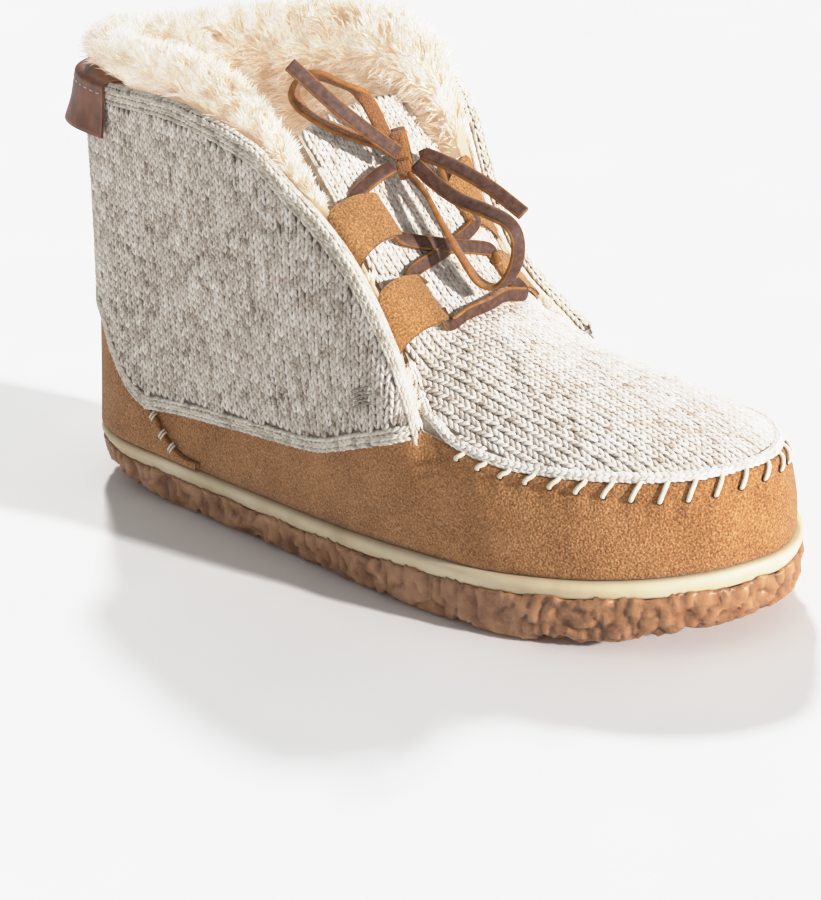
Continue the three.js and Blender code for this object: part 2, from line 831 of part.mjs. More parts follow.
// Heel label: a folded ribbon over the rim at the back, its free end standing off most at the back.
// Each row: place across the wall, height over the label's drop, and how much it stands off at the back.
const labelReach = 0.105;
const labelFlare = 5.5;
const LABEL_SECTION = [
  [0.2, -1, 1],
  [0.1, -0.55, 0.6],
  [0, -0.1, 0.35],
  [-0.2, 0.09, 0.2],
  [-3.4, 0.13, 0],
  [-6.6, 0.08, 0],
  [-7.1, -0.05, 0],
  [-7.1, -0.42, 0],
];
function labelLines(extra) {
  const last = stationOf(labelReach);
  const stops = heelStops(last);
  if (extra) stops.unshift([last + 0.012, -1]) && stops.push([last + 0.012, 1]);
  const seat = knitWall + 2 * fit + labelWall / 2;
  return LABEL_SECTION.map(([across, up, flare]) =>
    stops.map(([a, side]) => {
      const wallHeight = lastPoint(a, side, 1).distanceTo(lastPoint(a, side, 0));
      const offset = seat + across + labelFlare * flare * (1 - (0.75 * a) / last);
      const drop = Math.min(up, 0) * (labelDrop + extra);
      const point = offsetPoint(a, side, 1 + drop / wallHeight, offset);
      return up > 0 ? point.addScaledVector(rimUp(a, side), up * labelDrop) : point;
    }),
  );
}

// Lace: two crossings and a bar between the tabs, two strands to the knot, and the bow.
function tabCorner(name, side, lower, along, lift) {
  const row = TABS.find((entry) => entry[0] === name);
  const point = tabFold(row[lower ? 4 : 3], side);
  const other = tabFold(row[lower ? 3 : 4], side);
  point.addScaledVector(point.clone().sub(other).normalize(), along);
  if (along < 0) point.y -= side * 1.2;
  point.z += lift;
  return point;
}
const listed = (v) => [v.x, v.y, v.z];
function overTongue(s, y, lift) {
  const point = tongueTop(s, Math.sign(y), Math.abs(y));
  return [point.x, point.y, point.z + lift];
}
function laceBarGeometry() {
  const points = [
    listed(tabCorner("lower", -1, true, laceWidth / 2 + 0.9, 2.4)),
    overTongue(0.619, -9, 4.2),
    overTongue(0.623, 0, 4),
    overTongue(0.619, 9, 4.2),
    listed(tabCorner("lower", 1, true, laceWidth / 2 + 0.9, 4)),
  ];
  const hints = points.map(() => [0.9, 0, 0.42]);
  return stripGeometry(points, hints, laceWidth, laceWall);
}
function laceCrossingGeometry() {
  const strips = [-1, 1].map((side) => {
    const points = [
      listed(tabCorner("lower", side, false, -laceWidth / 2, 1.2)),
      overTongue(0.56, 0, side < 0 ? 3 : 3.8),
      listed(tabCorner("upper", -side, true, -laceWidth / 2, 1.2)),
    ];
    const hints = [
      [0.5, 0.3 * side, 0.8],
      [0.6, 0, 0.8],
      [0.5, -0.3 * side, 0.8],
    ];
    return solidOf(stripGeometry(points, hints, laceWidth, laceWall));
  });
  return geometryOf(strips[0].add(strips[1]));
}

// The bow's chosen points, as places on the shoe in its own sizes, and the broad side's direction at each.
const knotCentre = new THREE.Vector3(134.8, 1.5, 127.6);
const knotSize = [5.2, 5.2, 7.6];
const BOW = {
  lace_strand_lateral: {
    points: [null, [137.3, -10, 124.5], [135.9, -5.6, 124.6]],
    hints: [[0.6, -0.3, 0.75], [0.6, -0.3, 0.75], [0.6, -0.3, 0.75]],
  },
  lace_strand_medial: {
    points: [null, [137.3, 12, 124.5], [135.9, 8.8, 124.7]],
    hints: [[0.6, 0.3, 0.75], [0.6, 0.3, 0.75], [0.6, 0.3, 0.75]],
  },
  lace_loop_lateral: {
    points: [
      [131.2, -1.7, 133.3],
      [130, -9, 147.6],
      [125, -15, 153],
      [121, -20, 156],
      [116, -22, 153.6],
      [113.6, -22, 148.8],
      [117.6, -21, 143.8],
      [123.5, -15, 138.2],
      [131.6, -5.8, 132.3],
    ],
    hints: [[-0.9, 0, 0.3], [-0.6, 0, 0.8], [-0.3, 0.3, 0.9], [-0.6, 0.4, 0.6], [-1, 0, 0.2], [-0.8, 0, -0.5],
      [-0.3, 0, -0.9], [-0.3, 0.2, -0.9], [-0.5, 0.2, -0.8]],
  },
  lace_end_lateral: {
    points: [
      [137.6, -4.3, 130.1],
      [134, -14, 139.5],
      [129, -21, 148],
      [118.5, -28, 161],
    ],
    hints: [[0.6, -0.6, 0.5], [0.6, -0.6, 0.5], [0.6, -0.6, 0.5], [0.6, -0.6, 0.5]],
  },
  lace_end_medial: {
    points: [
      [140.4, 4.6, 127.6],
      [148, 6, 125.6],
      [156, 6.4, 123.2],
      [165, 7.2, 119.4],
      [175.6, 8, 113.4],
    ],
    hints: [[0.4, -0.6, 0.7], [0.4, -0.6, 0.7], [0.4, -0.6, 0.7], [0.4, -0.6, 0.7], [0.4, -0.6, 0.7]],
  },
  lace_loop_medial: {
    points: [
      [140.4, 0.5, 125.3],
      [149, 0, 120.6],
      [158, 0, 117],
      [168, 0, 115.3],
      [176, 0, 113],
      [179.2, 0, 108.6],
      [178.6, 0, 101.5],
      [175, -0.5, 95],
      [170.8, -1.5, 92.1],
      [166.3, -3.5, 93.8],
      [163, -6, 100.5],
      [156.5, -7, 110.8],
      [148.7, -5, 119],
      [141, -2.6, 122.6],
    ],
    hints: [[0.4, -0.7, 0.6], [0.4, -0.7, 0.6], [0.4, -0.7, 0.6], [0.5, -0.6, 0.6], [0.8, -0.4, 0.5], [1, -0.3, 0.1],
      [0.9, -0.4, -0.3], [0.6, -0.3, -0.7], [0, -0.2, -1], [-0.6, -0.3, -0.7], [-0.8, -0.5, -0.4],
      [-0.7, -0.6, -0.4], [-0.6, -0.7, -0.4], [-0.6, -0.7, -0.4]],
  },
};

function paint(color, roughness) {
  return new THREE.MeshStandardMaterial({ color, roughness, metalness: 0 });
}
const materials = {
  gum: paint(0x9b6f55, 0.55),
  band: paint(0xd9cfaf, 0.6),
  suede: paint(0xb8824f, 0.95),
  knit: paint(0xd8d0c6, 0.95),
  fur: paint(0xf0e8dc, 1),
  lace: paint(0x6b4a3c, 0.6),
  ribbon: paint(0x8a5a3c, 0.5),
  footbed: paint(0xe6dccb, 1),
};

const boot = new THREE.Group();
function addPiece(name, geometry, material) {
  const mesh = new THREE.Mesh(geometry, material);
  mesh.name = name;
  boot.add(mesh);
}

addPiece("outsole", outsoleGeometry(), materials.gum);
addPiece("midsole", midsoleGeometry(), materials.band);
addPiece("insole", insoleGeometry(), materials.footbed);
addPiece("upper", upperGeometry(), materials.suede);
addPiece("heel_counter", counterGeometry(), materials.suede);
addPiece("fur_lining", furGeometry(), materials.fur);
addPiece("plug_tongue", plugGeometry(), materials.knit);
addPiece("heel_label", plateGeometry(labelLines(0), labelWall), materials.ribbon);
for (const side of [-1, 1]) {
  addPiece(`quarter_${sideName(side)}`, quarterGeometry(side), materials.knit);
  for (const row of TABS) {
    addPiece(`lace_tab_${sideName(side)}_${row[0]}`, plateGeometry(tabLines(row, side), tabWall), materials.suede);
  }
}
addPiece("lace_bar", laceBarGeometry(), materials.lace);
addPiece("lace_crossing", laceCrossingGeometry(), materials.lace);
for (const [name, { points, hints }] of Object.entries(BOW)) {
  const start = tabCorner("upper", name.endsWith("lateral") ? -1 : 1, false, laceWidth / 2 + 0.9, 1.4);
  const route = points.map((point) => point || listed(start));
  addPiece(name, stripGeometry(route, hints, laceWidth, laceWall), materials.lace);
}
const knot = new THREE.SphereGeometry(1, 10, 7);
knot.scale(...knotSize);
knot.translate(knotCentre.x, knotCentre.y, knotCentre.z);
addPiece("lace_knot", mergedGeometry(knot), materials.lace);

boot.position.x = -heelRestX;

export default boot;
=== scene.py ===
"""Mukluk boot, a right shoe, dressed over its CAD frame: knit, suede, fur, lace, label and sole."""

import math

import bpy
import numpy as np
from bpy.props import FloatProperty, FloatVectorProperty, IntProperty, PointerProperty
from mathutils import Matrix, Vector, noise


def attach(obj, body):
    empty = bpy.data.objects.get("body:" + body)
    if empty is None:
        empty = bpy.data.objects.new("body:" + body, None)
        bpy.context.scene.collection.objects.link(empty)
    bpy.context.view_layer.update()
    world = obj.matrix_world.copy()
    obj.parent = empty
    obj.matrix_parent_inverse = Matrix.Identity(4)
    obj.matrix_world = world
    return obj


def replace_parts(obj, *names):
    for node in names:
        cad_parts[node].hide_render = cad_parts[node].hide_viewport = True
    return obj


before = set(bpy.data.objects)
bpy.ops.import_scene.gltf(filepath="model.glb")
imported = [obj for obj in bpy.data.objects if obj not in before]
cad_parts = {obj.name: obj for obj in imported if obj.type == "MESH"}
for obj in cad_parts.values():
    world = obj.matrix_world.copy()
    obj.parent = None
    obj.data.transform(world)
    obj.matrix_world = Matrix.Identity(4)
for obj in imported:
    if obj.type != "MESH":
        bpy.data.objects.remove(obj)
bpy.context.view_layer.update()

bl_info = {
    "name": "Mukluk boot",
    "version": (1, 0, 0),
    "blender": (4, 5, 0),
    "location": "View3D > Sidebar > Boot",
    "description": "Builds the dressed mukluk boot over its CAD frame",
    "category": "Object",
}

# The tables below are the part's own. Lengths in them are millimetres from the heel's rearmost point.
MM = 0.001
HEEL_REST = 78.0
RNG_SEED = 7
# Sizes of the turned rim (above the sewn line), the cream band, the tabs, the counter, the fur and the label
RIM_TURN = 1.2
BAND_THICKNESS = 6
TAB_HALF = 0.9
COUNTER_WALL = 1.8
FUR_DEPTH, FUR_RISE, FUR_REACH = 8, 11, 45
LABEL_DROP, LABEL_FLARE = 15.5, 9

BAND_TOP = [(0, 19), (0.3, 17.5), (0.68, 21.2), (0.85, 23.7), (1, 26.8)]
OUTLINE = [
    (0, 0, 0), (0.01, 0.25, 0.22), (0.04, 0.46, 0.44), (0.1, 0.61, 0.62), (0.2, 0.68, 0.7),
    (0.35, 0.79, 0.66), (0.5, 0.93, 0.69), (0.62, 1.02, 0.82), (0.72, 1.06, 0.91), (0.82, 0.98, 0.94),
    (0.9, 0.8, 0.83), (0.96, 0.53, 0.54), (0.99, 0.24, 0.25), (1, 0, 0),
]
LATERAL_RIM = [
    (0, 0.028, 0, 1), (0.012, 0.033, 0.17, 1), (0.04, 0.058, 0.34, 0.997), (0.1, 0.113, 0.51, 0.996),
    (0.18, 0.187, 0.68, 1.008), (0.26, 0.26, 0.83, 1.018), (0.34, 0.337, 0.96, 1.006),
    (0.41, 0.4, 1.02, 0.977), (0.47, 0.456, 1.03, 0.9), (0.52, 0.507, 1.05, 0.83),
    (0.56, 0.548, 1.09, 0.76), (0.59, 0.582, 1.12, 0.675), (0.615, 0.606, 1.15, 0.6),
    (0.635, 0.623, 1.17, 0.51), (0.652, 0.64, 1.18, 0.43),
]
MEDIAL_RIM = [
    (0, 0.028, 0, 1), (0.012, 0.033, 0.17, 1), (0.04, 0.058, 0.36, 1.003), (0.1, 0.113, 0.58, 1.012),
    (0.18, 0.187, 0.76, 1.035), (0.27, 0.28, 0.88, 1.065), (0.35, 0.36, 0.94, 1.08),
    (0.41, 0.415, 0.97, 1.075), (0.46, 0.455, 0.98, 1.045), (0.5, 0.482, 0.98, 0.99),
    (0.53, 0.5, 0.97, 0.92), (0.555, 0.52, 0.96, 0.79), (0.58, 0.55, 0.97, 0.655),
    (0.605, 0.585, 1.0, 0.57), (0.63, 0.615, 1.05, 0.515), (0.652, 0.64, 1.1, 0.465),
]
SEAM = [
    (0.652, 1.094, 1.12), (0.68, 1.057, 1.06), (0.72, 1.02, 1.0), (0.78, 0.992, 0.955),
    (0.86, 0.992, 0.935), (0.94, 0.99, 0.94), (1, 1, 1),
]
BELLY = [
    (0, -0.015, 0), (0.05, -0.015, 0), (0.2, -0.02, 0.01), (0.4, 0, 0.03), (0.6, 0.02, 0.02),
    (0.7, 0.02, 0), (0.85, 0.02, 0), (1, 0.018, 0),
]
COUNTER_EDGE = [
    (0, 0.47), (0.03, 0.45), (0.061, 0.417), (0.089, 0.34), (0.128, 0.262), (0.159, 0.237), (0.18, 0.19),
    (0.199, 0.162), (0.246, 0.13),
]
QUARTER_EDGE = [
    (0, 0.2), (0.12, 0.235), (0.23, 0.265), (0.37, 0.295), (0.485, 0.32), (0.56, 0.37), (0.65, 0.43),
]
FUR_SECTION = [
    (0, -1), (0, -0.5), (0, -0.04), (0, 0.06), (0.1, 0.3), (0.0, 0.8), (-0.5, 1), (-1.05, 0.7),
    (-1.25, 0.1), (-1.1, -0.35), (-1, -1),
]
FUR_FULLNESS = {
    -1: [(0, 1), (0.3, 1), (0.4, 0.72), (0.46, 0.42), (0.5, 0.2), (0.55, 0.12), (0.65, 0.1)],
    1: [(0, 1), (0.4, 1), (0.48, 0.85), (0.53, 0.5), (0.56, 0.2), (0.6, 0.12), (0.65, 0.1)],
}
# Where hairs stand: share of them, place along the section
FUR_PLACES = [(0, 3.1), (0.06, 4), (0.2, 5), (0.3, 6), (0.42, 7), (0.54, 8), (0.76, 9), (1, 9.9)]
TONGUE = [
    (0.43, 0.54), (0.463, 0.55), (0.493, 0.56), (0.519, 0.57), (0.556, 0.6), (0.6, 0.68), (0.64, 0.82),
]
TONGUE_FALL = [
    (0.43, 1), (0.463, 0.8), (0.493, 0.61), (0.519, 0.47), (0.556, 0.27), (0.585, 0.12), (0.615, 0),
]
PLUG_FALL = [(0.615, 1), (0.66, 0.88), (0.722, 0.7), (0.822, 0.48), (0.911, 0.24), (0.965, 0.07)]
# Lace tabs: side, name, their stations on the rim, those of the fold on the tongue, and the fold's
# distance across
TABS = [
    (-1, "lower", 0.583, 0.62, 0.564, 0.608, 15), (-1, "upper", 0.511, 0.562, 0.499, 0.534, 12),
    (1, "lower", 0.588, 0.614, 0.571, 0.612, 16.5), (1, "upper", 0.545, 0.578, 0.512, 0.544, 16.5),
]
# Toe stitches: their first and last station on the lateral side, their number there, and the holes' depth
WHIP_FIRST, WHIP_LAST, WHIP_COUNT = 0.6895, 0.9976, 13
HOLE_DROP = [
    (0.66, 2.4), (0.69, 2.4), (0.75, 2.2), (0.79, 2.4), (0.845, 3.2), (0.903, 4.6), (0.93, 5), (0.973, 4.6),
    (1, 3.8),
]
# A toe stitch's route: share of the hole's depth, depth beyond it, distance from the suede, run along the rim
WHIP_ROUTE = [
    (1, 0.5, -0.8, 0), (1, 0, 0.75, 0), (0.5, 0, 1.25, 1.1), (0, 0.5, 0.8, 2.2), (0, -0.9, -0.6, 2.9),
    (0, -1.5, -2.2, 3.4), (0, -1.2, -3.6, 3.8), (0, 0.4, -4.6, 4.1),
]
LABEL_SECTION = [
    (0.2, -1, 1), (0.1, -0.55, 0.6), (0, -0.1, 0.35), (-0.2, 0.09, 0.2), (-3.4, 0.13, 0),
    (-6.6, 0.08, 0), (-7.1, -0.05, 0), (-7.1, -0.42, 0),
]

# Each finish's middle tone. Its other tones follow it.
TONES = {
    "suede": "#BA8656", "knit": "#E9E0D6", "plug": "#ECE5DC", "fur": "#F9F3EB", "gum": "#BE9068",
    "band": "#E0D1B0", "lace": "#644436", "label": "#854E2D",
}

# Colours of each material, dark to light, and the finish above that they follow
STOPS = {
    "suede": ("suede", [(0.32, "#7E5230"), (0.46, "#A57244"), (0.56, "#BA8656"), (0.7, "#D2A274")]),
    "tab_suede": ("suede", [(0.32, "#7D532B"), (0.46, "#9E6F40"), (0.56, "#AE8051"), (0.7, "#C69C6C")]),
    "knit_yarn": ("knit", [(0.3, "#8D7A69"), (0.42, "#CBBDAF"), (0.54, "#E9E0D6"), (0.68, "#FAF6EF")]),
    "plug_yarn": ("plug", [(0.3, "#AE9B89"), (0.42, "#D8CCBF"), (0.54, "#ECE5DC"), (0.68, "#FAF6F0")]),
    # Grounds behind the stitches: painted darker than their yarn, as shade in the gaps
    "knit_ground_shade": (None, [(0.35, "#877A6D"), (0.65, "#B3A699")]),
    "plug_ground_shade": (None, [(0.35, "#A59788"), (0.65, "#CCC1B4")]),
    "hem_yarn": (None, [(0.28, "#A59887"), (0.45, "#CDC2B2"), (0.62, "#E9E2D6")]),
    "fur_ground": ("fur", [(0.05, "#E6D6C0"), (0.4, "#F1E6D8"), (0.9, "#FAF4EC")]),
    # The fleece hair's tan low end carries the painted shade at the roots and inside the collar
    "fur_hair": ("fur", [(0.05, "#DCC4A4"), (0.3, "#EFE2D2"), (0.55, "#F9F3EB"), (0.9, "#FFFDFA")]),
    "fleece_lining": (None, [(0.3, "#DCCDB5"), (0.6, "#F0E7D8"), (0.8, "#FAF4EA")]),
    "gum_rubber": ("gum", [(0.1, "#6A452C"), (0.35, "#A0714E"), (0.6, "#BE9068"), (0.9, "#DDB88F")]),
    "cream_rubber": ("band", [(0.25, "#CBB893"), (0.5, "#E0D1B0"), (0.8, "#ECE0C6")]),
    "lace_smooth": ("lace", [(0.3, "#4B3127"), (0.55, "#644436"), (0.8, "#7A5848")]),
    "lace_rough": (None, [(0.3, "#7A4E2C"), (0.5, "#9C6A41"), (0.75, "#B98560")]),
    "lace_edge": (None, [(0.3, "#85552A"), (0.55, "#A16C37"), (0.8, "#BC8A52")]),
    "label_ribbon": ("label", [(0.3, "#61371F"), (0.55, "#854E2D"), (0.8, "#A0653B")]),
    "waxed_thread": (None, [(0.3, "#D8CBB2"), (0.6, "#EFE6D3"), (0.8, "#FBF6EA")]),
    "brown_thread": (None, [(0.3, "#8D8378"), (0.7, "#B8AEA2")]),
    # Needle holes: near black, painted shade
    "needle_hole_shade": (None, [(0.3, "#2B1A10"), (0.7, "#4A2E1C")]),
    "fleece_footbed": (None, [(0.3, "#DDD0BA"), (0.7, "#F3EBDD")]),
}

# Suns: name, strength, width in degrees, and where each stands
SUNS = [("key", 4.3, 3, (0.937, 0.08, 0.342)), ("back", 2.3, 5, (-0.66, 0.71, 1.0))]
SKY = 0.36
# Tone curve below the white level: where, and how bright
WHITE_LEVEL = 2
TONE_CURVE = [(0.15, 0.29), (0.3, 0.59), (0.4, 0.77), (0.5, 0.86), (0.75, 0.955)]

# The lace's chosen routes and the direction that its smooth face looks in, as in the part.
UP_LATERAL = (0.6, -0.3, 0.75)
UP_MEDIAL = (0.6, 0.3, 0.75)
BOW = {
    "lace_loop_lateral": (
        [(131.2, -1.7, 133.3), (130, -9, 147.6), (125, -15, 153), (121, -20, 156), (116, -22, 153.6),
         (113.6, -22, 148.8), (117.6, -21, 143.8), (123.5, -15, 138.2), (131.6, -5.8, 132.3)],
        [(-0.9, 0, 0.3), (-0.6, 0, 0.8), (-0.3, 0.3, 0.9), (-0.6, 0.4, 0.6), (-1, 0, 0.2), (-0.8, 0, -0.5),
         (-0.3, 0, -0.9), (-0.3, 0.2, -0.9), (-0.5, 0.2, -0.8)],
        "object",
    ),
    "lace_end_lateral": (
        [(137.6, -4.3, 130.1), (134, -14, 139.5), (129, -21, 148), (118.5, -28, 161)],
        [(0.6, -0.6, 0.5)] * 4,
        "bare",
    ),
    "lace_end_medial": (
        [(140.4, 4.6, 127.6), (148, 6, 125.6), (156, 6.4, 123.2), (165, 7.2, 119.4), (175.6, 8, 113.4)],
        [(0.4, -0.6, 0.7)] * 5,
        "bare",
    ),
    "lace_loop_medial": (
        [(140.4, 0.5, 125.3), (149, 0, 120.6), (158, 0, 117), (168, 0, 115.3), (176, 0, 113),
         (179.2, 0, 108.6), (178.6, 0, 101.5), (175, -0.5, 95), (170.8, -1.5, 92.1), (166.3, -3.5, 93.8),
         (163, -6, 100.5), (156.5, -7, 110.8), (148.7, -5, 119), (141, -2.6, 122.6)],
        [(0.4, -0.7, 0.6), (0.4, -0.7, 0.6), (0.4, -0.7, 0.6), (0.5, -0.6, 0.6), (0.8, -0.4, 0.5),
         (1, -0.3, 0.1), (0.9, -0.4, -0.3), (0.6, -0.3, -0.7), (0, -0.2, -1), (-0.6, -0.3, -0.7),
         (-0.8, -0.5, -0.4), (-0.7, -0.6, -0.4), (-0.6, -0.7, -0.4), (-0.6, -0.7, -0.4)],
        "object",
    ),
}


def linear(code):
    """A hex colour as linear RGBA."""
    parts = [int(code[i : i + 2], 16) / 255 for i in (1, 3, 5)]
    return [c / 12.92 if c <= 0.04045 else ((c + 0.055) / 1.055) ** 2.4 for c in parts] + [1.0]


def colour_property(name):
    """A colour that a user may change, by the finish that it belongs to."""
    return FloatVectorProperty(name=name.title(), description=f"Middle tone of the {name}", subtype="COLOR",
                               min=0, max=1, default=linear(TONES[name])[:3])


class BootSizes(bpy.types.PropertyGroup):
    """Sizes that the dressed pieces share with the part"""

    sole_length: FloatProperty(name="Sole length", description="Heel to toe", default=0.27, unit="LENGTH")
    ball_width: FloatProperty(name="Ball width", description="Across the ball", default=0.092, unit="LENGTH")
    ankle_width: FloatProperty(name="Ankle width", description="Across the collar", default=0.07,
                               unit="LENGTH")
    collar_height: FloatProperty(name="Collar height", description="Floor to collar", default=0.1395,
                                 unit="LENGTH")
    seam_height: FloatProperty(name="Seam height", description="Floor to toe seam", default=0.053,
                               unit="LENGTH")
    instep_height: FloatProperty(name="Instep height", description="Floor to instep", default=0.083,
                                 unit="LENGTH")
    tongue_height: FloatProperty(name="Tongue height", description="Floor to tongue", default=0.142,
                                 unit="LENGTH")
    upper_wall: FloatProperty(name="Upper wall", description="Suede thickness", default=0.0024, unit="LENGTH")
    knit_wall: FloatProperty(name="Knit wall", description="Quarter thickness", default=0.0026, unit="LENGTH")
    lace_width: FloatProperty(name="Lace width", description="Across the lace", default=0.0044, unit="LENGTH")
    lace_wall: FloatProperty(name="Lace thickness", description="Through the lace", default=0.0016,
                             unit="LENGTH")


class BootLooks(bpy.types.PropertyGroup):
    """Sizes and numbers of the small detail, and the colours"""

    wale: FloatProperty(name="Wale", description="Width of a knit column", default=0.0031, unit="LENGTH")
    course: FloatProperty(name="Course", description="Height of a knit row", default=0.0024, unit="LENGTH")
    yarn: FloatProperty(name="Yarn", description="Radius of a stitch's leg", default=0.00076, unit="LENGTH")
    hair_length: FloatProperty(name="Hair", description="Length of the fur's hair", default=0.0072,
                               unit="LENGTH")
    hair_count: IntProperty(name="Hairs", description="Hairs on each half of the collar", default=18500)
    suede: colour_property("suede")
    knit: colour_property("knit")
    plug: colour_property("plug")
    fur: colour_property("fur")
    gum: colour_property("gum")
    band: colour_property("band")
    lace: colour_property("lace")
    label: colour_property("label")


# Shape functions


def smooth(rows, column=1):
    """A table's column as a smooth function of its first column (monotone cubic)."""
    x = np.array([row[0] for row in rows], float)
    y = np.array([row[column] for row in rows], float)
    slope = np.diff(y) / np.diff(x)
    tangent = np.concatenate([slope[:1], np.zeros(len(x) - 2), slope[-1:]])
    product = slope[:-1] * slope[1:]
    total = slope[:-1] + slope[1:]
    same = product > 0
    tangent[1:-1][same] = 2 * product[same] / total[same]

    def at(value):
        s = np.clip(np.asarray(value, float), x[0], x[-1])
        i = np.clip(np.searchsorted(x, s, side="right") - 1, 0, len(x) - 2)
        h = x[i + 1] - x[i]
        t = (s - x[i]) / h
        ends = y[i] * (1 + 2 * t) * (1 - t) ** 2 + y[i + 1] * t * t * (3 - 2 * t)
        return ends + h * t * (1 - t) * (tangent[i] * (1 - t) - tangent[i + 1] * t)

    return at


def station_of(t):
    """The station at which a share of the sole's length lies."""
    return np.arccos(1 - 2 * np.asarray(t, float)) / math.pi


def share_of(a):
    """A station's share of the sole's length."""
    return (1 - np.cos(math.pi * np.asarray(a, float))) / 2


def by_station(rows, column):
    """A table's column as a smooth function of the station."""
    return smooth([(float(station_of(row[0])), row[column]) for row in rows])


def unit(vectors):
    return vectors / np.maximum(np.linalg.norm(vectors, axis=-1, keepdims=True), 1e-9)


def run_along(points):
    """The length run at each point of a line."""
    return np.concatenate([[0], np.cumsum(np.linalg.norm(np.diff(points, axis=0), axis=1))])


class Last:
    """The boot's surfaces as functions of station, side and height share, in millimetres."""

    def __init__(self, sizes):
        self.length = sizes.sole_length / MM
        self.half_ball = sizes.ball_width / MM / 2
        self.half_ankle = sizes.ankle_width / MM / 2
        self.collar = sizes.collar_height / MM
        self.seam = sizes.seam_height / MM + RIM_TURN
        self.instep = sizes.instep_height / MM
        self.tongue = sizes.tongue_height / MM
        self.wall = sizes.upper_wall / MM
        self.knit = sizes.knit_wall / MM
        self.fit = 0.3
        self.seam_inset = 6.0
        self.feather = 2.4
        self.core = 48.0
        self.flap_end = 0.652
        self.half = {-1: by_station(OUTLINE, 1), 1: by_station(OUTLINE, 2)}
        self.rims = {
            side: (smooth(rows, 1), by_station(rows, 2), smooth(rows, 3))
            for side, rows in ((-1, LATERAL_RIM), (1, MEDIAL_RIM))
        }
        self.seam_rise = {-1: smooth(SEAM, 1), 1: smooth(SEAM, 2)}
        self.low_belly = smooth(BELLY, 1)
        self.high_belly = smooth(BELLY, 2)
        self.band_top = smooth(BAND_TOP)
        self.fullness = {side: smooth(rows) for side, rows in FUR_FULLNESS.items()}
        self.tongue_width = smooth(TONGUE)
        self.tongue_fall = smooth(TONGUE_FALL)
        self.plug_fall = smooth(PLUG_FALL)
        self.hole_drop = smooth(HOLE_DROP)

    def outline(self, a, side, inset):
        def at(b):
            c = np.clip(b, 0, 1)
            t = share_of(c)
            swing = 6 * np.maximum(0, (t - 0.5) / 0.5) ** 1.5
            return self.length * t, swing + side * self.half_ball * self.half[side](c)

        a = np.asarray(a, float)
        x, y = at(a)
        x0, y0 = at(a - 0.01)
        x1, y1 = at(a + 0.01)
        run = np.hypot(x1 - x0, y1 - y0)
        dx = np.where(a <= 0, 1.0, np.where(a >= 1, -1.0, side * (y1 - y0) / run))
        dy = np.where((a <= 0) | (a >= 1), 0.0, -side * (x1 - x0) / run)
        return x + inset * dx, y + inset * dy

    def seam_point(self, t, side, inset):
        x, y = self.outline(station_of(t), side, inset)
        return np.stack([x, y, self.seam * self.seam_rise[side](t)], -1)

    def rim(self, t, side):
        along, half, rise = self.rims[side]

        def flap(s):
            width = side * half(station_of(s)) * self.half_ankle
            return np.stack([self.length * along(s), width, self.collar * rise(s)], -1)

        t = np.asarray(t, float)
        k = np.clip((t - self.flap_end) / 0.02, 0, 1)[..., None]
        end = flap(np.array(self.flap_end))
        sewn = end + (self.seam_point(np.maximum(t, self.flap_end), side, self.seam_inset) - end) * k
        return np.where((t <= self.flap_end)[..., None], flap(np.minimum(t, self.flap_end)), sewn)

    def point(self, a, side, v):
        a, v = np.broadcast_arrays(np.asarray(a, float), np.asarray(v, float))
        t = share_of(a)
        fx, fy = self.outline(a, side, self.feather)
        ox, oy = self.outline(a, side, self.feather - 1)
        fz = self.band_top(t) + self.fit
        rim = self.rim(t, side)
        belly = self.low_belly(t) * 4 * v * (1 - v) + self.high_belly(t) * 4 * v * v * (1 - v)
        out = 2 * self.half_ball * belly
        x = fx + (rim[..., 0] - fx) * v + (ox - fx) * out
        y = fy + (rim[..., 1] - fy) * v + (oy - fy) * out
        return np.stack([x, y, fz + (rim[..., 2] - fz) * v], -1)

    def normal(self, a, side, v):
        d = 0.012
        a, v = np.broadcast_arrays(np.asarray(a, float), np.asarray(v, float))
        a0, a1 = np.maximum(a - d, 0), np.minimum(a + d, 1)
        along = self.point(a1, side, v) - self.point(a0, side, v)
        at_heel = self.point(a1, side, v) - self.point(a1, -side, v)
        at_toe = self.point(a0, -side, v) - self.point(a0, side, v)
        along = np.where((a - d < 0)[..., None], at_heel, along)
        along = np.where((a + d > 1)[..., None], at_toe, along)
        up = self.point(a, side, np.minimum(v + d, 1)) - self.point(a, side, np.maximum(v - d, 0))
        normal = np.cross(along, up) if side < 0 else np.cross(up, along)
        return unit(normal)

    def rim_up(self, a, side):
        return unit(self.point(a, side, 1.0) - self.point(a, side, 0.9))

    def offset(self, a, side, v, distance):
        point = self.point(a, side, v)
        normal = self.normal(a, side, v)
        distance = np.broadcast_to(np.asarray(distance, float), point.shape[:-1])[..., None]
        plain = point + normal * distance
        core = np.stack([np.full(point.shape[:-1], self.core), np.zeros(point.shape[:-1]), point[..., 2]], -1)
        inward = unit(core - point)
        slant = np.maximum(-(inward * normal).sum(-1, keepdims=True), 0.7)
        aimed = point + inward * (-distance / slant)
        blend = np.minimum((self.core - plain[..., :1]) / (self.core / 2), 1)
        bent = plain + (aimed - plain) * blend
        keep = (distance >= 0) | (point[..., :1] >= self.core)
        return np.where(keep, plain, bent)

    def wall_height(self, a, side):
        return np.linalg.norm(self.point(a, side, 1.0) - self.point(a, side, 0.0), axis=-1)

    def share_at(self, a, side, z):
        """Height share at which the wall reaches a height."""
        low = self.point(a, side, 0.0)[..., 2]
        high = self.point(a, side, 1.0)[..., 2]
        return (z - low) / (high - low)

    def crown(self, s):
        tongue = self.instep + (self.tongue - self.instep) * self.tongue_fall(s)
        plug = self.seam + (self.instep - self.seam) * self.plug_fall(s)
        return np.where(s < TONGUE_FALL[-1][0], tongue, plug)

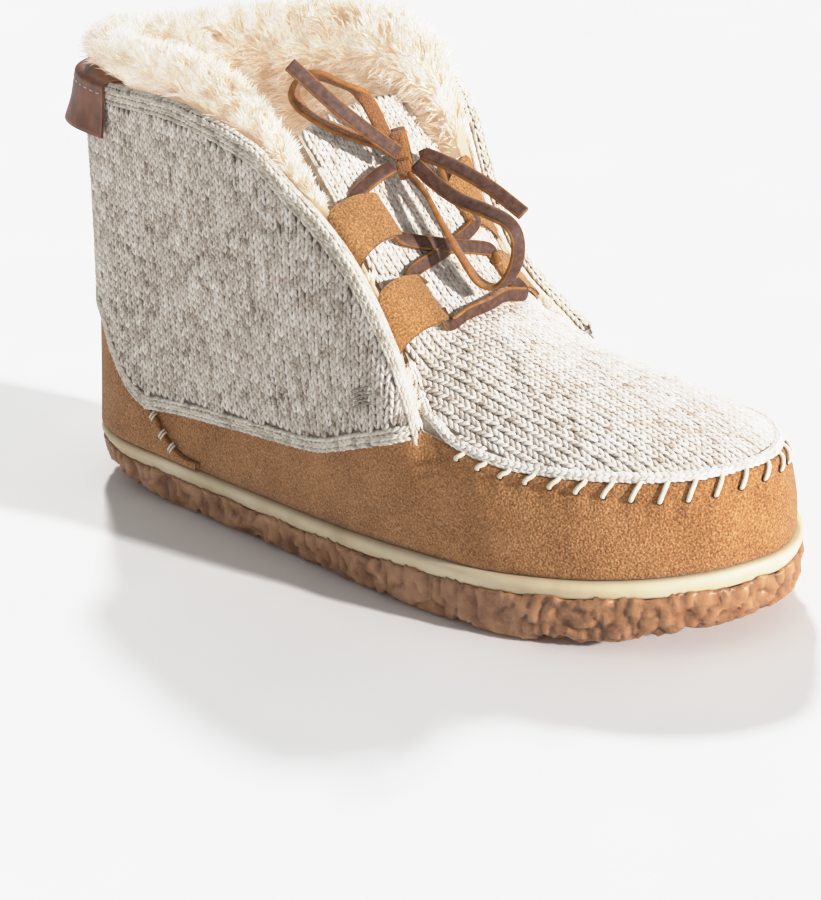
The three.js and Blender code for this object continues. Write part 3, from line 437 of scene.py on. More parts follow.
    def plug_edge(self, t, side):
        t = np.asarray(t, float)
        half = self.tongue_width(t) * self.half_ball
        s = np.minimum(t, TONGUE[-1][0])
        slack = np.clip((t - 0.5) / 0.14, 0, 1)
        free = np.stack([self.length * t, side * half, self.crown(s) - 3 - slack * 14], -1)
        k = np.clip((t - 0.63) / (0.68 - 0.63), 0, 1)[..., None]
        sewn = self.seam_point(np.maximum(t, 0.6), side, self.seam_inset + 1.3)
        sewn = sewn + np.array([0, 0, 0.9])
        return free + (sewn - free) * (k * k * (3 - 2 * k))

    def plug(self, t, across):
        t, across = np.broadcast_arrays(np.asarray(t, float), np.asarray(across, float))
        lateral, medial = self.plug_edge(t, -1), self.plug_edge(t, 1)
        point = lateral + (medial - lateral) * ((across + 1) / 2)[..., None]
        centre = (lateral[..., 0] + medial[..., 0]) / 2 / self.length
        rise = np.maximum(self.crown(centre) - (lateral[..., 2] + medial[..., 2]) / 2, 0.3)
        point[..., 2] += rise * (1 - np.abs(across) ** 2.4)
        return point

    def plug_normal(self, t, across):
        d = 0.004
        along = self.plug(t + d, across) - self.plug(t - d, across)
        over = self.plug(t, np.minimum(across + 0.04, 1)) - self.plug(t, np.maximum(across - 0.04, -1))
        return unit(np.cross(along, over))

    def tab_lines(self, row, side):
        """Cross lines of a lace tab from its root inside the wall to its fold on the tongue."""
        _, _, upper_edge, lower_edge, upper_fold, lower_fold, reach = row
        k = np.array([0, 0.5, 1])
        a = station_of(upper_edge + (lower_edge - upper_edge) * k)
        depth = -(self.wall + self.fit + TAB_HALF + 0.3)
        root = self.offset(a, side, 1 - 6 / self.wall_height(a, side), depth)
        crest = self.offset(a, side, 1.0, depth) + self.rim_up(a, side) * 1.6
        fold = self.tab_fold(upper_fold + (lower_fold - upper_fold) * k, side, reach)
        middle = (crest + fold) / 2 + np.array([0, 0, 2.2])
        return np.stack([root, crest, middle, fold])

    def tab_fold(self, s, side, reach):
        s = np.asarray(s, float)
        across = side * reach / (self.tongue_width(s) * self.half_ball)
        return self.plug(s, across) + np.array([0, 0, TAB_HALF + 1.0])

    def label_lines(self, count):
        last = float(station_of(0.105))
        a = np.concatenate([np.linspace(last, 0, count), np.linspace(0, last, count)[1:]])
        side = np.concatenate([-np.ones(count), np.ones(count - 1)])
        seat = self.knit + 2 * self.fit + 0.4
        lines = []
        for across, up, flare in LABEL_SECTION:
            row = np.zeros((len(a), 3))
            for s in (-1, 1):
                m = side == s
                offset = seat + across + LABEL_FLARE * flare * (1 - 0.75 * a[m] / last)
                v = 1 + min(up, 0) * LABEL_DROP / self.wall_height(a[m], s)
                row[m] = self.offset(a[m], s, v, offset)
                if up > 0:
                    row[m] += self.rim_up(a[m], s) * up * LABEL_DROP
            lines.append(row)
        return np.stack(lines)

    def fur(self, a, side, across, up):
        full = self.fullness[side](share_of(a))
        height = self.wall_height(a, side)
        reach = np.minimum(FUR_REACH, height * 0.7)
        v = 1 + np.minimum(up, 0) * reach / height
        root = self.offset(a, side, v, -self.wall - 1.7 * self.fit)
        core = np.stack([np.maximum(root[..., 0], self.core), np.zeros(len(root)), root[..., 2]], -1)
        point = root - unit(core - root) * (across * FUR_DEPTH * full)[..., None]
        return point + self.rim_up(a, side) * (np.maximum(up, 0) * FUR_RISE * full)[..., None]


# Mesh helpers


def placed(points):
    """Millimetres from the heel as metres from the heel rest."""
    return (np.asarray(points, float) - np.array([HEEL_REST, 0, 0])) * MM


def grid_faces(rows, columns, close_rows=False, close_columns=False):
    """Quads between the points of a grid, closed on itself either way."""
    r = np.arange(rows if close_rows else rows - 1)
    c = np.arange(columns if close_columns else columns - 1)
    rr, cc = np.meshgrid(r, c, indexing="ij")
    r2, c2 = (rr + 1) % rows, (cc + 1) % columns
    quads = np.stack([rr * columns + cc, rr * columns + c2, r2 * columns + c2, r2 * columns + cc], -1)
    return quads.reshape(-1, 4)


def new_mesh(name, points, faces, materials, face_materials=None, tone=None):
    """A smooth mesh object on the boot, from millimetre points, faces turned out."""
    mesh = bpy.data.meshes.new(name)
    mesh.from_pydata(placed(points).tolist(), [], [list(map(int, face)) for face in faces])
    if signed_volume(mesh) < 0:
        mesh.flip_normals()
    for material in materials:
        mesh.materials.append(material)
    if face_materials is not None:
        mesh.polygons.foreach_set("material_index", np.asarray(face_materials, np.int32))
    mesh.polygons.foreach_set("use_smooth", np.ones(len(mesh.polygons), bool))
    if tone is not None:
        layer = mesh.attributes.new("tone", "FLOAT", "POINT")
        layer.data.foreach_set("value", np.asarray(tone, np.float32))
    mesh.validate()
    piece = bpy.data.objects.new(name, mesh)
    bpy.context.scene.collection.objects.link(piece)
    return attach(piece, "root")


def signed_volume(mesh):
    mesh.calc_loop_triangles()
    points = np.empty(len(mesh.vertices) * 3)
    mesh.vertices.foreach_get("co", points)
    points = points.reshape(-1, 3)
    corners = np.empty(len(mesh.loop_triangles) * 3, np.int32)
    mesh.loop_triangles.foreach_get("vertices", corners)
    a, b, c = (points[corners.reshape(-1, 3)[:, k]] for k in range(3))
    return float((a * np.cross(b, c)).sum())


def shell(name, outer, inner, closed, materials, face_materials=None, tone=None):
    """Closed sheet between two point grids (rows, columns, 3); closed joins its last column to its first."""
    rows, columns = outer.shape[:2]
    points = np.concatenate([outer.reshape(-1, 3), inner[::-1].reshape(-1, 3)])
    faces = grid_faces(2 * rows, columns, True, closed).tolist()
    slots = [0] * len(faces)
    per_row = columns if closed else columns - 1
    for i in range(len(faces)):
        if rows - 1 <= i // per_row < 2 * rows - 1:
            slots[i] = min(1, len(materials) - 1)
    if not closed:
        for column, turn in ((0, -1), (columns - 1, 1)):
            for r in range(rows - 1):
                quad = [r, r + 1, 2 * rows - 2 - r, 2 * rows - 1 - r][::turn]
                faces.append([q * columns + column for q in quad])
                slots.append(0)
    return new_mesh(name, points, faces, materials, face_materials or slots, tone)


def refine(lines, rows, columns):
    """A finer grid through a coarse one, by Catmull-Rom curves both ways."""

    def along(points, count):
        padded = np.concatenate([2 * points[:1] - points[1:2], points, 2 * points[-1:] - points[-2:-1]])
        s = np.linspace(0, len(points) - 1 - 1e-9, count)
        i = s.astype(int)
        t = (s - i).reshape(-1, *[1] * (points.ndim - 1))
        p0, p1, p2, p3 = (padded[i + k] for k in range(4))
        return 0.5 * (2 * p1 + (p2 - p0) * t + (2 * p0 - 5 * p1 + 4 * p2 - p3) * t**2
                      + (3 * p1 - p0 - 3 * p2 + p3) * t**3)

    down = along(lines, rows)
    return along(down.transpose(1, 0, 2), columns).transpose(1, 0, 2)


def grid_normals(grid):
    along = np.gradient(grid, axis=0)
    over = np.gradient(grid, axis=1)
    return unit(np.cross(along, over))


def tubes(spines, normals, radius, profile, sides, flat=0.75):
    """Points and faces of many closed tubes; spines (n, m, 3), radius and profile per ring."""
    n, m = spines.shape[:2]
    tangent = unit(np.gradient(spines, axis=1))
    side = unit(np.cross(tangent, normals))
    lift = unit(np.cross(side, tangent))
    angle = np.linspace(0, 2 * math.pi, sides, endpoint=False)
    ring = np.asarray(profile)[None, :, None] * np.asarray(radius).reshape(-1, 1, 1)
    across = side[:, :, None, :] * (np.cos(angle)[None, None, :] * ring)[..., None]
    raised = lift[:, :, None, :] * (np.sin(angle)[None, None, :] * ring * flat)[..., None]
    points = spines[:, :, None, :] + across + raised
    one = grid_faces(m, sides, False, True)
    offsets = np.arange(n)[:, None, None] * (m * sides)
    faces = (one[None] + offsets).reshape(-1, 4).tolist()
    for i in range(n):
        base = i * m * sides
        faces.append([base + k for k in range(sides)][::-1])
        faces.append([base + (m - 1) * sides + k for k in range(sides)])
    return points.reshape(-1, 3), faces


def curve_points(points, count):
    return refine(np.asarray(points, float)[:, None, :].repeat(2, 1), count, 2)[:, 0]


def strip(points, hints, width, thick, steps):
    """A flat strip along a curve: its spine, and its closed section at each step (steps, section, 3)."""
    spine = curve_points(points, steps)
    face = curve_points(hints, steps)
    tangent = unit(np.gradient(spine, axis=0))
    face = unit(face - tangent * (face * tangent).sum(-1, keepdims=True))
    broad = unit(np.cross(tangent, face))
    section = [(0.5, -0.3), (0.5, 0.3), (0.42, 0.5), (0.2, 0.52), (-0.2, 0.52), (-0.42, 0.5),
               (-0.5, 0.3), (-0.5, -0.3), (-0.42, -0.5), (-0.2, -0.52), (0.2, -0.52), (0.42, -0.5)]
    rings = [spine + broad * w * width + face * h * thick for w, h in section]
    return spine, np.stack(rings, 1)


def strip_object(name, routes, sizes, materials, steps=60):
    """One mesh of flat strips; each route is (points, hints). Smooth face, rough face and cut edge differ."""
    width, thick = sizes.lace_width / MM, sizes.lace_wall / MM
    points, faces, slots = [], [], []
    count = 0
    spines = []
    for route, hints in routes:
        spine, rings = strip(route, hints, width, thick, steps)
        spines.append(spine)
        n, m = rings.shape[:2]
        points.append(rings.reshape(-1, 3))
        quads = grid_faces(n, m, False, True) + count
        faces.extend(quads.tolist())
        by_section = [2, 2, 0, 0, 0, 2, 2, 2, 1, 1, 1, 2]
        slots.extend(by_section * (n - 1))
        faces.append([count + k for k in range(m)][::-1])
        faces.append([count + (n - 1) * m + k for k in range(m)])
        slots.extend([2, 2])
        count += n * m
    return new_mesh(name, np.concatenate(points), faces, materials, slots), spines


# Materials


def add(tree, kind, inputs=None, **settings):
    """A node with its settings, and its inputs set or linked."""
    node = tree.nodes.new(kind)
    for key, value in settings.items():
        setattr(node, key, value)
    for key, value in (inputs or {}).items():
        if isinstance(value, bpy.types.NodeSocket):
            tree.links.new(value, node.inputs[key])
        else:
            node.inputs[key].default_value = value
    return node


def ramp(tree, factor, stops):
    node = add(tree, "ShaderNodeValToRGB", {"Fac": factor})
    elements = node.color_ramp.elements
    while len(elements) < len(stops):
        elements.new(0.5)
    for element, (place, code) in zip(elements, stops):
        element.position = place
        element.color = linear(code) if isinstance(code, str) else code
    return node.outputs["Color"]


def grain(tree, scale_mm, detail=3.0, stretch=(1, 1, 1)):
    """Noise in the object's own space; its features are about scale_mm across."""
    where = add(tree, "ShaderNodeTexCoord").outputs["Object"]
    mapped = add(tree, "ShaderNodeMapping", {"Vector": where, "Scale": stretch}).outputs["Vector"]
    found = add(tree, "ShaderNodeTexNoise",
                {"Vector": mapped, "Scale": 1 / (scale_mm * MM), "Detail": detail})
    return found.outputs["Fac"]


def bump(tree, height, distance_mm, strength):
    inputs = {"Height": height, "Distance": distance_mm * MM, "Strength": strength}
    return add(tree, "ShaderNodeBump", inputs).outputs["Normal"]


def material(name):
    made = bpy.data.materials.new(name)
    made.use_nodes = True
    made.node_tree.nodes.clear()
    return made, made.node_tree


def finish_material(tree, **inputs):
    names = {"color": "Base Color", "rough": "Roughness", "normal": "Normal", "sheen": "Sheen Weight",
             "sheen_rough": "Sheen Roughness", "sub": "Subsurface Weight", "sub_scale": "Subsurface Scale",
             "specular": "Specular IOR Level", "radius": "Subsurface Radius"}
    shader = add(tree, "ShaderNodeBsdfPrincipled", {names[key]: value for key, value in inputs.items()})
    add(tree, "ShaderNodeOutputMaterial", {"Surface": shader.outputs["BSDF"]})


def suede(name, stops, grain_mm=0.65):
    """Suede: a granular nap with soft lighter and darker patches."""
    made, tree = material(name)
    patches = grain(tree, 14, 4)
    fine = grain(tree, grain_mm, 2)
    colour = ramp(tree, mix_value(tree, patches, fine, 0.78), stops)
    cells = add(tree, "ShaderNodeTexVoronoi",
                {"Vector": add(tree, "ShaderNodeTexCoord").outputs["Object"],
                 "Scale": 1 / (grain_mm * 1.3 * MM)})
    nap = mix_value(tree, fine, cells.outputs["Distance"], 0.4)
    finish_material(tree, color=colour, rough=0.9, normal=bump(tree, nap, 0.7, 1.0), sheen=0.2,
                    sheen_rough=0.5, specular=0.3)
    return made


def mix_value(tree, first, second, factor):
    node = add(tree, "ShaderNodeMix", data_type="FLOAT")
    for socket, value in (("Factor_Float", factor), ("A_Float", first), ("B_Float", second)):
        target = next(s for s in node.inputs if s.identifier == socket)
        if isinstance(value, bpy.types.NodeSocket):
            tree.links.new(value, target)
        else:
            target.default_value = value
    return next(s for s in node.outputs if s.identifier == "Result_Float")


def yarn(name, stops, fibre_mm=0.65):
    """Wool yarn: each stitch has its own tone, with fine fibres."""
    made, tree = material(name)
    tone = add(tree, "ShaderNodeAttribute", attribute_name="tone").outputs["Fac"]
    fibre = grain(tree, fibre_mm, 3)
    colour = ramp(tree, mix_value(tree, tone, fibre, 0.55), stops)
    finish_material(tree, color=colour, rough=1.0, normal=bump(tree, fibre, 0.12, 0.6), sheen=0.35,
                    sheen_rough=0.6, specular=0.15)
    return made


def plain(name, stops, scale_mm, rough, depth_mm, specular=0.4, **more):
    """A material with one noise for its colour and one for its relief."""
    made, tree = material(name)
    colour = ramp(tree, grain(tree, scale_mm, 4), stops)
    relief = bump(tree, grain(tree, scale_mm * 0.2, 4), depth_mm, 0.7)
    finish_material(tree, color=colour, rough=rough, normal=relief, specular=specular, **more)
    return made


def toned(name, stops, rough, depth_mm, grain_mm, **more):
    """A material whose colour follows the tone kept on its points."""
    made, tree = material(name)
    tone = add(tree, "ShaderNodeAttribute", attribute_name="tone").outputs["Fac"]
    fine = grain(tree, grain_mm, 4)
    colour = ramp(tree, mix_value(tree, tone, fine, 0.25), stops)
    finish_material(tree, color=colour, rough=rough, normal=bump(tree, fine, depth_mm, 0.6), **more)
    return made


def hair(name, stops):
    """Wool pile: pale hairs that let light through, with a painted glow: emission in the hair's own colour.
    """
    made, tree = material(name)
    tone = add(tree, "ShaderNodeAttribute", attribute_name="tone").outputs["Fac"]
    colour = ramp(tree, mix_value(tree, tone, grain(tree, 3, 2), 0.2), stops)
    # Emission Strength 0.48: painted glow, standing in for light scattered through the pile
    shader = add(tree, "ShaderNodeBsdfPrincipled",
                 {"Base Color": colour, "Roughness": 0.85, "Specular IOR Level": 0.2,
                                                     "Emission Color": colour, "Emission Strength": 0.48})
    through = add(tree, "ShaderNodeBsdfTranslucent", {"Color": colour})
    both = add(tree, "ShaderNodeMixShader", {0: 0.55, 1: shader.outputs["BSDF"], 2: through.outputs["BSDF"]})
    add(tree, "ShaderNodeOutputMaterial", {"Surface": both.outputs["Shader"]})
    return made


def make_materials(looks):
    """Every material once, by name."""

    def stops(name):
        """The material's stops, moved as the user moved its finish's middle tone."""
        finish, rows = STOPS[name]
        if finish is None:
            return rows
        shift = [new / usual for new, usual in zip(getattr(looks, finish), linear(TONES[finish]))]
        return [(place, [*(c * k for c, k in zip(linear(code), shift)), 1.0]) for place, code in rows]

    return {
        # Tan suede: matte, with a fine nap that breaks the light into grains
        "suede": suede("suede", stops("suede")),
        "tab_suede": suede("tab_suede", stops("tab_suede")),
        # Heathered wool yarn: rough and soft-edged, each stitch a little lighter or darker
        "knit": yarn("knit_yarn", stops("knit_yarn")),
        "plug_knit": yarn("plug_yarn", stops("plug_yarn")),
        # Wool behind the stitches: painted a darker grey than the yarn, as painted shade in the gaps
        "knit_ground_shade": plain("knit_ground_shade", stops("knit_ground_shade"), 3, 1.0, 0.15),
        "plug_ground_shade": plain("plug_ground_shade", stops("plug_ground_shade"), 3, 1.0, 0.15),
        # Grey yarn of the turned edges: the same wool, a shade flatter
        "hem": yarn("hem_yarn", stops("hem_yarn")),
        # Fleece pile: cream, lit by a painted glow (emission), with painted shade: tan at the roots and on
        # the inner hairs
        "fur_ground": hair("fur_ground", stops("fur_ground")),
        "fur": hair("fur_hair", stops("fur_hair")),
        # Fleece backing inside the wall: matte cream
        "lining": plain("fleece_lining", stops("fleece_lining"), 5, 1.0, 0.8),
        # Gum rubber: brown, faintly translucent, with a soft shine; its tone is painted darker in the grooves
        # as shade and lighter on the ridges
        "gum": toned("gum_rubber", stops("gum_rubber"), 0.38, 0.25, 0.9, specular=0.55, sub=0.25,
                     sub_scale=0.004, radius=(1.0, 0.5, 0.3)),
        # Cream rubber: smooth and satin
        "band": plain("cream_rubber", stops("cream_rubber"), 18, 0.5, 0.05, sub=0.1, sub_scale=0.003),
        # Leather lace: dark smooth grain side, fuzzy flesh side, raw tan edge
        "lace_smooth": plain("lace_smooth", stops("lace_smooth"), 1.6, 0.6, 0.1),
        "lace_rough": suede("lace_rough", stops("lace_rough"), 0.5),
        "lace_edge": plain("lace_edge", stops("lace_edge"), 3, 0.7, 0.08),
        # Label ribbon: smooth brown with a slight sheen
        "ribbon": plain("label_ribbon", stops("label_ribbon"), 6, 0.45, 0.05, specular=0.5),
        # Waxed thread of the toe, counter and label: pale and matte
        "thread": plain("waxed_thread", stops("waxed_thread"), 1.5, 0.7, 0.1),
        # Sewing thread of the quarters: grey-brown and matte
        "brown_thread": plain("brown_thread", stops("brown_thread"), 1.5, 0.8, 0.1),
        # Needle holes: dark plugs, painted shade where each stitch sinks into the suede
        "hole": plain("needle_hole_shade", stops("needle_hole_shade"), 2, 1.0, 0.1),
        # Fleece footbed: matte cream
        "footbed": plain("fleece_footbed", stops("fleece_footbed"), 6, 1.0, 0.8),
    }


MATERIALS = {}


def use(*names):
    return [MATERIALS[name] for name in names]


# Pieces


def look_from_photo():
    """The camera: azimuth, elevation, roll, distance and target of the photograph's view."""
    azimuth, elevation, roll = (math.radians(v) for v in (41.636, 23.157, -3.818))
    back = Vector((math.sin(azimuth) * math.cos(elevation), -math.cos(azimuth) * math.cos(elevation),
                   math.sin(elevation)))
    right = Vector((0, 0, 1)).cross(back).normalized()
    up = back.cross(right)
    turned_right = right * math.cos(roll) + up * math.sin(roll)
    turned_up = up * math.cos(roll) - right * math.sin(roll)
    centre = Vector(placed([140.047, -9.921, 34.691])) + back * 0.904798
    matrix = Matrix((turned_right, turned_up, back)).transposed().to_4x4()
    matrix.translation = centre
    data = bpy.data.cameras.new("camera")
    data.sensor_width = 36
    data.lens = 36 * 2888.282 / 900
    data.clip_end = 20
    camera = bpy.data.objects.new("camera", data)
    camera.matrix_world = matrix
    bpy.context.scene.collection.objects.link(camera)
    bpy.context.scene.camera = camera


def make_bow(sizes):
    """The bow's two loops and two free ends."""
    for name, (points, hints, end) in BOW.items():
        piece, spines = strip_object(name, [(points, hints)], sizes,
                                     use("lace_smooth", "lace_rough", "lace_edge"),
                                     100)
        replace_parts(piece, name)
        path = placed(spines[0])


def make_lace(sizes, last):
    """The bar, the crossing, the strands to the knot and the knot's wraps."""
    slots = use("lace_smooth", "lace_rough", "lace_edge")

    def corner(name, side, lower, along, lift):
        row = next(entry for entry in TABS if entry[:2] == (side, name))
        point = last.tab_fold(row[5 if lower else 4], side, row[6])
        other = last.tab_fold(row[4 if lower else 5], side, row[6])
        return point + unit(point - other) * along + np.array([0, side * 1.4, lift])

    def over(s, y, lift):
        across = y / (last.tongue_width(s) * last.half_ball)
        return last.plug(s, across) + np.array([0, 0, lift])

    down = (1, 0, -0.15)
    bar = [corner("lower", -1, True, -4, 0.7), corner("lower", -1, True, 1.5, 0.9), over(0.615, -9, 3),
           over(0.62, 0, 3.2),
           over(0.616, 9, 3.2), corner("lower", 1, True, 1.5, 1.2), corner("lower", 1, True, -4, 0.7)]
    piece, _ = strip_object("lace_bar", [(bar, [down] * 7)], sizes, slots)
    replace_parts(piece, "lace_bar")
    crossing = []
    for side in (-1, 1):
        points = [corner("lower", side, False, -4, 0.6), corner("lower", side, False, 1.2, 0.8),
                  over(0.56, 0, 2.6 if side < 0 else 3.8), corner("upper", -side, True, 1.2, 0.8),
                  corner("upper", -side, True, -4, 0.6)]
        hint = (0.8, 0.45 * side, 0.1)
        crossing.append((points, [hint] * 5))
    piece, _ = strip_object("lace_crossing", crossing, sizes, slots)
    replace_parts(piece, "lace_crossing")
    lateral = [over(0.5, -21, 0.9), over(0.4935, -19.5, 2.6), (135.2, -12, 124), (136.3, -5.6, 125.6)]
    medial = [corner("upper", 1, False, -4, 0.6), corner("upper", 1, False, 2, 1.4), (137.3, 12, 124.5),
              (135.9, 8.8, 124.7)]
    for name, points, hint in (("lace_strand_lateral", lateral, UP_LATERAL),
                               ("lace_strand_medial", medial, UP_MEDIAL)):
        piece, _ = strip_object(name, [(points, [hint] * 4)], sizes, slots, 30)
        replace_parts(piece, name)
    make_knot(sizes)


def make_knot(sizes):
    """Two wraps of the lace round the loops' crossing."""
    centre = np.array([134.8, 1.5, 127.6])
    routes = []
    for tilt, shift, half_height, half_depth in ((0.25, (0.6, -1.2, 0), 6.6, 3.4),
                                                 (-0.35, (-1.6, 1.6, 1.5), 5.2, 3.0)):
        turn = np.linspace(0, 2 * math.pi * 0.985, 14)
        across = np.array([math.cos(tilt) * 0.62, -math.cos(tilt) * 0.78, 0])
        up = np.array([-0.35, 0.12, 0.93])
        ring = [centre + np.array(shift) + across * half_depth * math.cos(t) + up * half_height * math.sin(t)
                for t in turn]
        face = [-(across * math.cos(t) + up * math.sin(t)) for t in turn]
        routes.append((ring, face))
    piece, _ = strip_object("lace_knot", routes, sizes, use("lace_smooth", "lace_rough", "lace_edge"), 48)
    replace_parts(piece, "lace_knot")


def make_sole(last):
    """Outsole remeshed from the part and carved like bark; cream band above it."""
    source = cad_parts["outsole"]
    copy = source.data.copy()
    piece = bpy.data.objects.new("outsole_gum", copy)
    bpy.context.scene.collection.objects.link(piece)
    remesh = piece.modifiers.new("remesh", "REMESH")
    remesh.mode = "VOXEL"
    remesh.voxel_size = 0.00135
    baked = bpy.data.meshes.new_from_object(piece.evaluated_get(bpy.context.evaluated_depsgraph_get()))
    piece.modifiers.clear()
    piece.data = baked
    count = len(baked.vertices)
    points = np.empty(count * 3)
    normals = np.empty(count * 3)
    baked.vertices.foreach_get("co", points)
    baked.vertices.foreach_get("normal", normals)
    points, normals = points.reshape(-1, 3), normals.reshape(-1, 3)
    depth = np.zeros(count)
    tone = np.zeros(count)
    for i, (x, y, z) in enumerate(points):
        steep = 1 - abs(normals[i, 2])
        rough = noise.fractal(Vector((x, y, z * 0.8)) * 190, 0.8, 2.1, 4)
        veins = abs(noise.noise(Vector((x, y, z * 0.6)) * 230 + Vector((3, 1, 7))))
        chips = noise.voronoi(Vector((x, y, z)) * 300)[0][0]
        carved = 0.55 * rough - 1.1 * max(0.0, 0.22 - veins) / 0.22 + 1.1 * (0.35 - chips)
        side = min(1.0, steep * 1.8)
        depth[i] = carved * (0.9 * side + 0.25)
        # Tone follows the carving: grooves painted darker as shade, ridges painted lighter as light; the
        # small noise is the rubber's own mottling
        tone[i] = 0.5 + 0.32 * carved + 0.1 * noise.noise(Vector((x, y, z)) * 45)
    depth = np.where(points[:, 2] < 0.0012, np.minimum(depth, 0) * 0.3, depth)
    top = (last.band_top((points[:, 0] / MM + HEEL_REST) / last.length) - BAND_THICKNESS) * MM
    edge = placed(around(120, lambda a, side: np.stack([*last.outline(a, side, 0), 0 * a], -1)))
    inset = np.min(np.hypot(points[:, :1] - edge[:, 0], points[:, 1:2] - edge[:, 1]), axis=1)
    near_top = np.clip(1 + (points[:, 2] - top) / 0.003, 0, 1) * np.clip(1.6 - inset / 0.0016, 0, 1)
    moved = points + normals * depth[:, None] * 0.0009
    ragged = np.array([noise.fractal(Vector(p) * 120, 0.8, 2.1, 3) for p in points])
    moved[:, 2] += near_top * (0.0021 + 0.0015 * ragged)
    moved[:, 2] = np.maximum(moved[:, 2], 0)
    baked.vertices.foreach_set("co", moved.ravel())
    layer = baked.attributes.new("tone", "FLOAT", "POINT")
    layer.data.foreach_set("value", np.clip(tone, 0, 1).astype(np.float32))
    baked.materials.clear()
    baked.materials.append(MATERIALS["gum"])
    baked.polygons.foreach_set("use_smooth", np.ones(len(baked.polygons), bool))
    baked.update()
    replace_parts(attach(piece, "root"), "outsole")
    make_band(last)


def around(count, point):
    """A closed ring of points from a function of station and side."""
    a = np.linspace(0, 1, count + 1)
    return np.concatenate([point(a, -1), point(a[1:-1][::-1], 1)])


def make_band(last):
    """Cream rubber band between the outsole and the upper."""
    levels = [(2.2, 0), (1.7, 0.3), (1.3, 1), (0.9, 2), (0.45, 2.9), (0.1, 3.8), (0.1, 4.6), (0.4, 5.5),
              (1.2, BAND_THICKNESS)]

    def ring(inset, rise):
        def at(a, side):
            x, y = last.outline(a, side, inset)
            return np.stack([x, y, last.band_top(share_of(a)) - BAND_THICKNESS + rise], -1)

        return around(120, at)

    outer = np.stack([ring(inset, rise) for inset, rise in levels])
    inner = np.stack([ring(9, rise * 0.7 + 0.9) for _, rise in levels])
    piece = shell("midsole_band", outer, inner, True, use("band"))
    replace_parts(piece, "midsole")


def toe_run(last):
    """The rim round the toe: share, side, run from the tip, stitch pitch and the last stitch's place."""
    t = 0.655 + 0.345 * np.sin(np.linspace(0, math.pi / 2, 500))
    share = np.concatenate([t, t[::-1][1:]])
    side = np.concatenate([-np.ones(500, int), np.ones(499, int)])
    rim = np.concatenate([last.rim(t, -1), last.rim(t, 1)[::-1][1:]])
    run = run_along(rim)
    run -= run[499]
    first, final = (np.interp(v, t, run[:500]) for v in (WHIP_FIRST, WHIP_LAST))
    return share, side, run, (final - first) / (WHIP_COUNT - 1), final


def make_upper(last):
    """Suede vamp and wall, puckered between the toe stitches, with fleece inside."""
    count, rows = 230, 32
    share, side_of, run, pitch, final = toe_run(last)

    def phases(a, side):
        mine = side_of == side
        order = np.argsort(share[mine])
        return (np.interp(share_of(a), share[mine][order], run[mine][order]) - final) / pitch

    phase = around(count, phases)
    drop = around(count, lambda a, side: last.hole_drop(share_of(a)))
    seam = around(count, lambda a, side: last.point(a, side, 1.0))
    low = around(count, lambda a, side: last.point(a, side, 0.0))
    height = np.linalg.norm(seam - low, axis=1)
    front = np.clip((seam[:, 0] - last.length * 0.655) / 6, 0, 1)
    wave = np.cos(2 * math.pi * phase)
    outer, inner = [], []
    for r in range(rows + 1):
        v = 1 - (1 - r / rows) ** 1.5
        surface = around(count, lambda a, side: last.offset(a, side, np.full(a.shape, v), 0))
        normal = around(count, lambda a, side: last.normal(a, side, np.full(a.shape, v)))
        below = (1 - v) * height
        bulge = 0.55 * np.exp(-((below - drop * 0.45) / 1.8) ** 2) * (0.7 - 0.3 * wave)
        groove = -0.4 * np.exp(-((below - drop - 0.4) / 0.8) ** 2)
        pinch = -0.55 * np.exp(-((below - drop) / 1.5) ** 2) * np.maximum(0, wave) ** 6
        folds = 0.3 * np.exp(-((below - drop - 2.5) / 2.5) ** 2) * wave
        rounding = -0.9 * np.clip((v - 0.955) / 0.045, 0, 1) ** 2
        outer.append(surface + normal * ((bulge + groove + pinch + folds + rounding) * front)[:, None])
        inner.append(around(count, lambda a, side: last.offset(a, side, np.full(a.shape, v), -last.wall)))
    piece = shell("upper_suede", np.stack(outer), np.stack(inner), True, use("suede", "lining"))
    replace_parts(piece, "upper")


def quarter_low(last, x):
    """Height of the quarter's lower edge, kept above the counter."""
    low = smooth(QUARTER_EDGE)(x / last.length) * last.collar
    counter = smooth(COUNTER_EDGE)(x / last.length) * last.collar + 2 * last.fit
    return np.maximum(low, counter)


def share_below(last, a, side, height):
    """Height share at which the wall reaches height(x), found by halving."""
    low, high = np.zeros(a.shape), np.ones(a.shape)
    for _ in range(24):
        v = (low + high) / 2
        p = last.point(a, side, v)
        below = p[..., 2] < height(p[..., 0])
        low, high = np.where(below, v, low), np.where(below, high, v)
    return (low + high) / 2


def low_share(last, a, side):
    """Height share of the quarter's lower edge."""
    return np.minimum(share_below(last, a, side, lambda x: quarter_low(last, x)), 0.97)


def stitch_legs(at, centres, wale, course, radius, rng, tones):
    """Knit stitches: two leaning legs at each centre; at maps flat places to (point, normal)."""
    spines, normals, tone = [], [], []
    along = np.array([0.78, 0.35, -0.2, -0.68])
    lean = np.array([0.44, 0.36, 0.2, 0.06])
    lift = np.array([-0.15, 0.25, 0.25, -0.2])
    for hand in (-1, 1):
        jitter = rng.normal(0, 0.04, (len(centres), 2))
        u = centres[:, :1] + hand * lean[None] * wale + jitter[:, :1] * wale
        w = centres[:, 1:] + along[None] * course * 1.12 + jitter[:, 1:] * course
        point, normal = at(u, w)
        spines.append(point + normal * (lift[None] * radius)[..., None])
        normals.append(normal)
        tone.append(tones + rng.normal(0, 0.1, len(centres)))
    spines, normals, tone = np.concatenate(spines), np.concatenate(normals), np.concatenate(tone)
    size = radius * rng.uniform(0.9, 1.12, len(spines))
    points, faces = tubes(spines, normals, size, [0.55, 1.0, 0.95, 0.45], 4)
    return points, faces, np.repeat(np.clip(tone, 0, 1), 16)


def clumpy(rng, centres, spread, share):
    """A tone for each stitch: heathered, drifting over a few stitches."""
    drift = np.array([noise.noise(Vector((u / spread, w / spread, 0.7))) for u, w in centres])
    return np.clip(0.5 + 0.1 * drift + rng.normal(0, share, len(centres)), 0, 1)


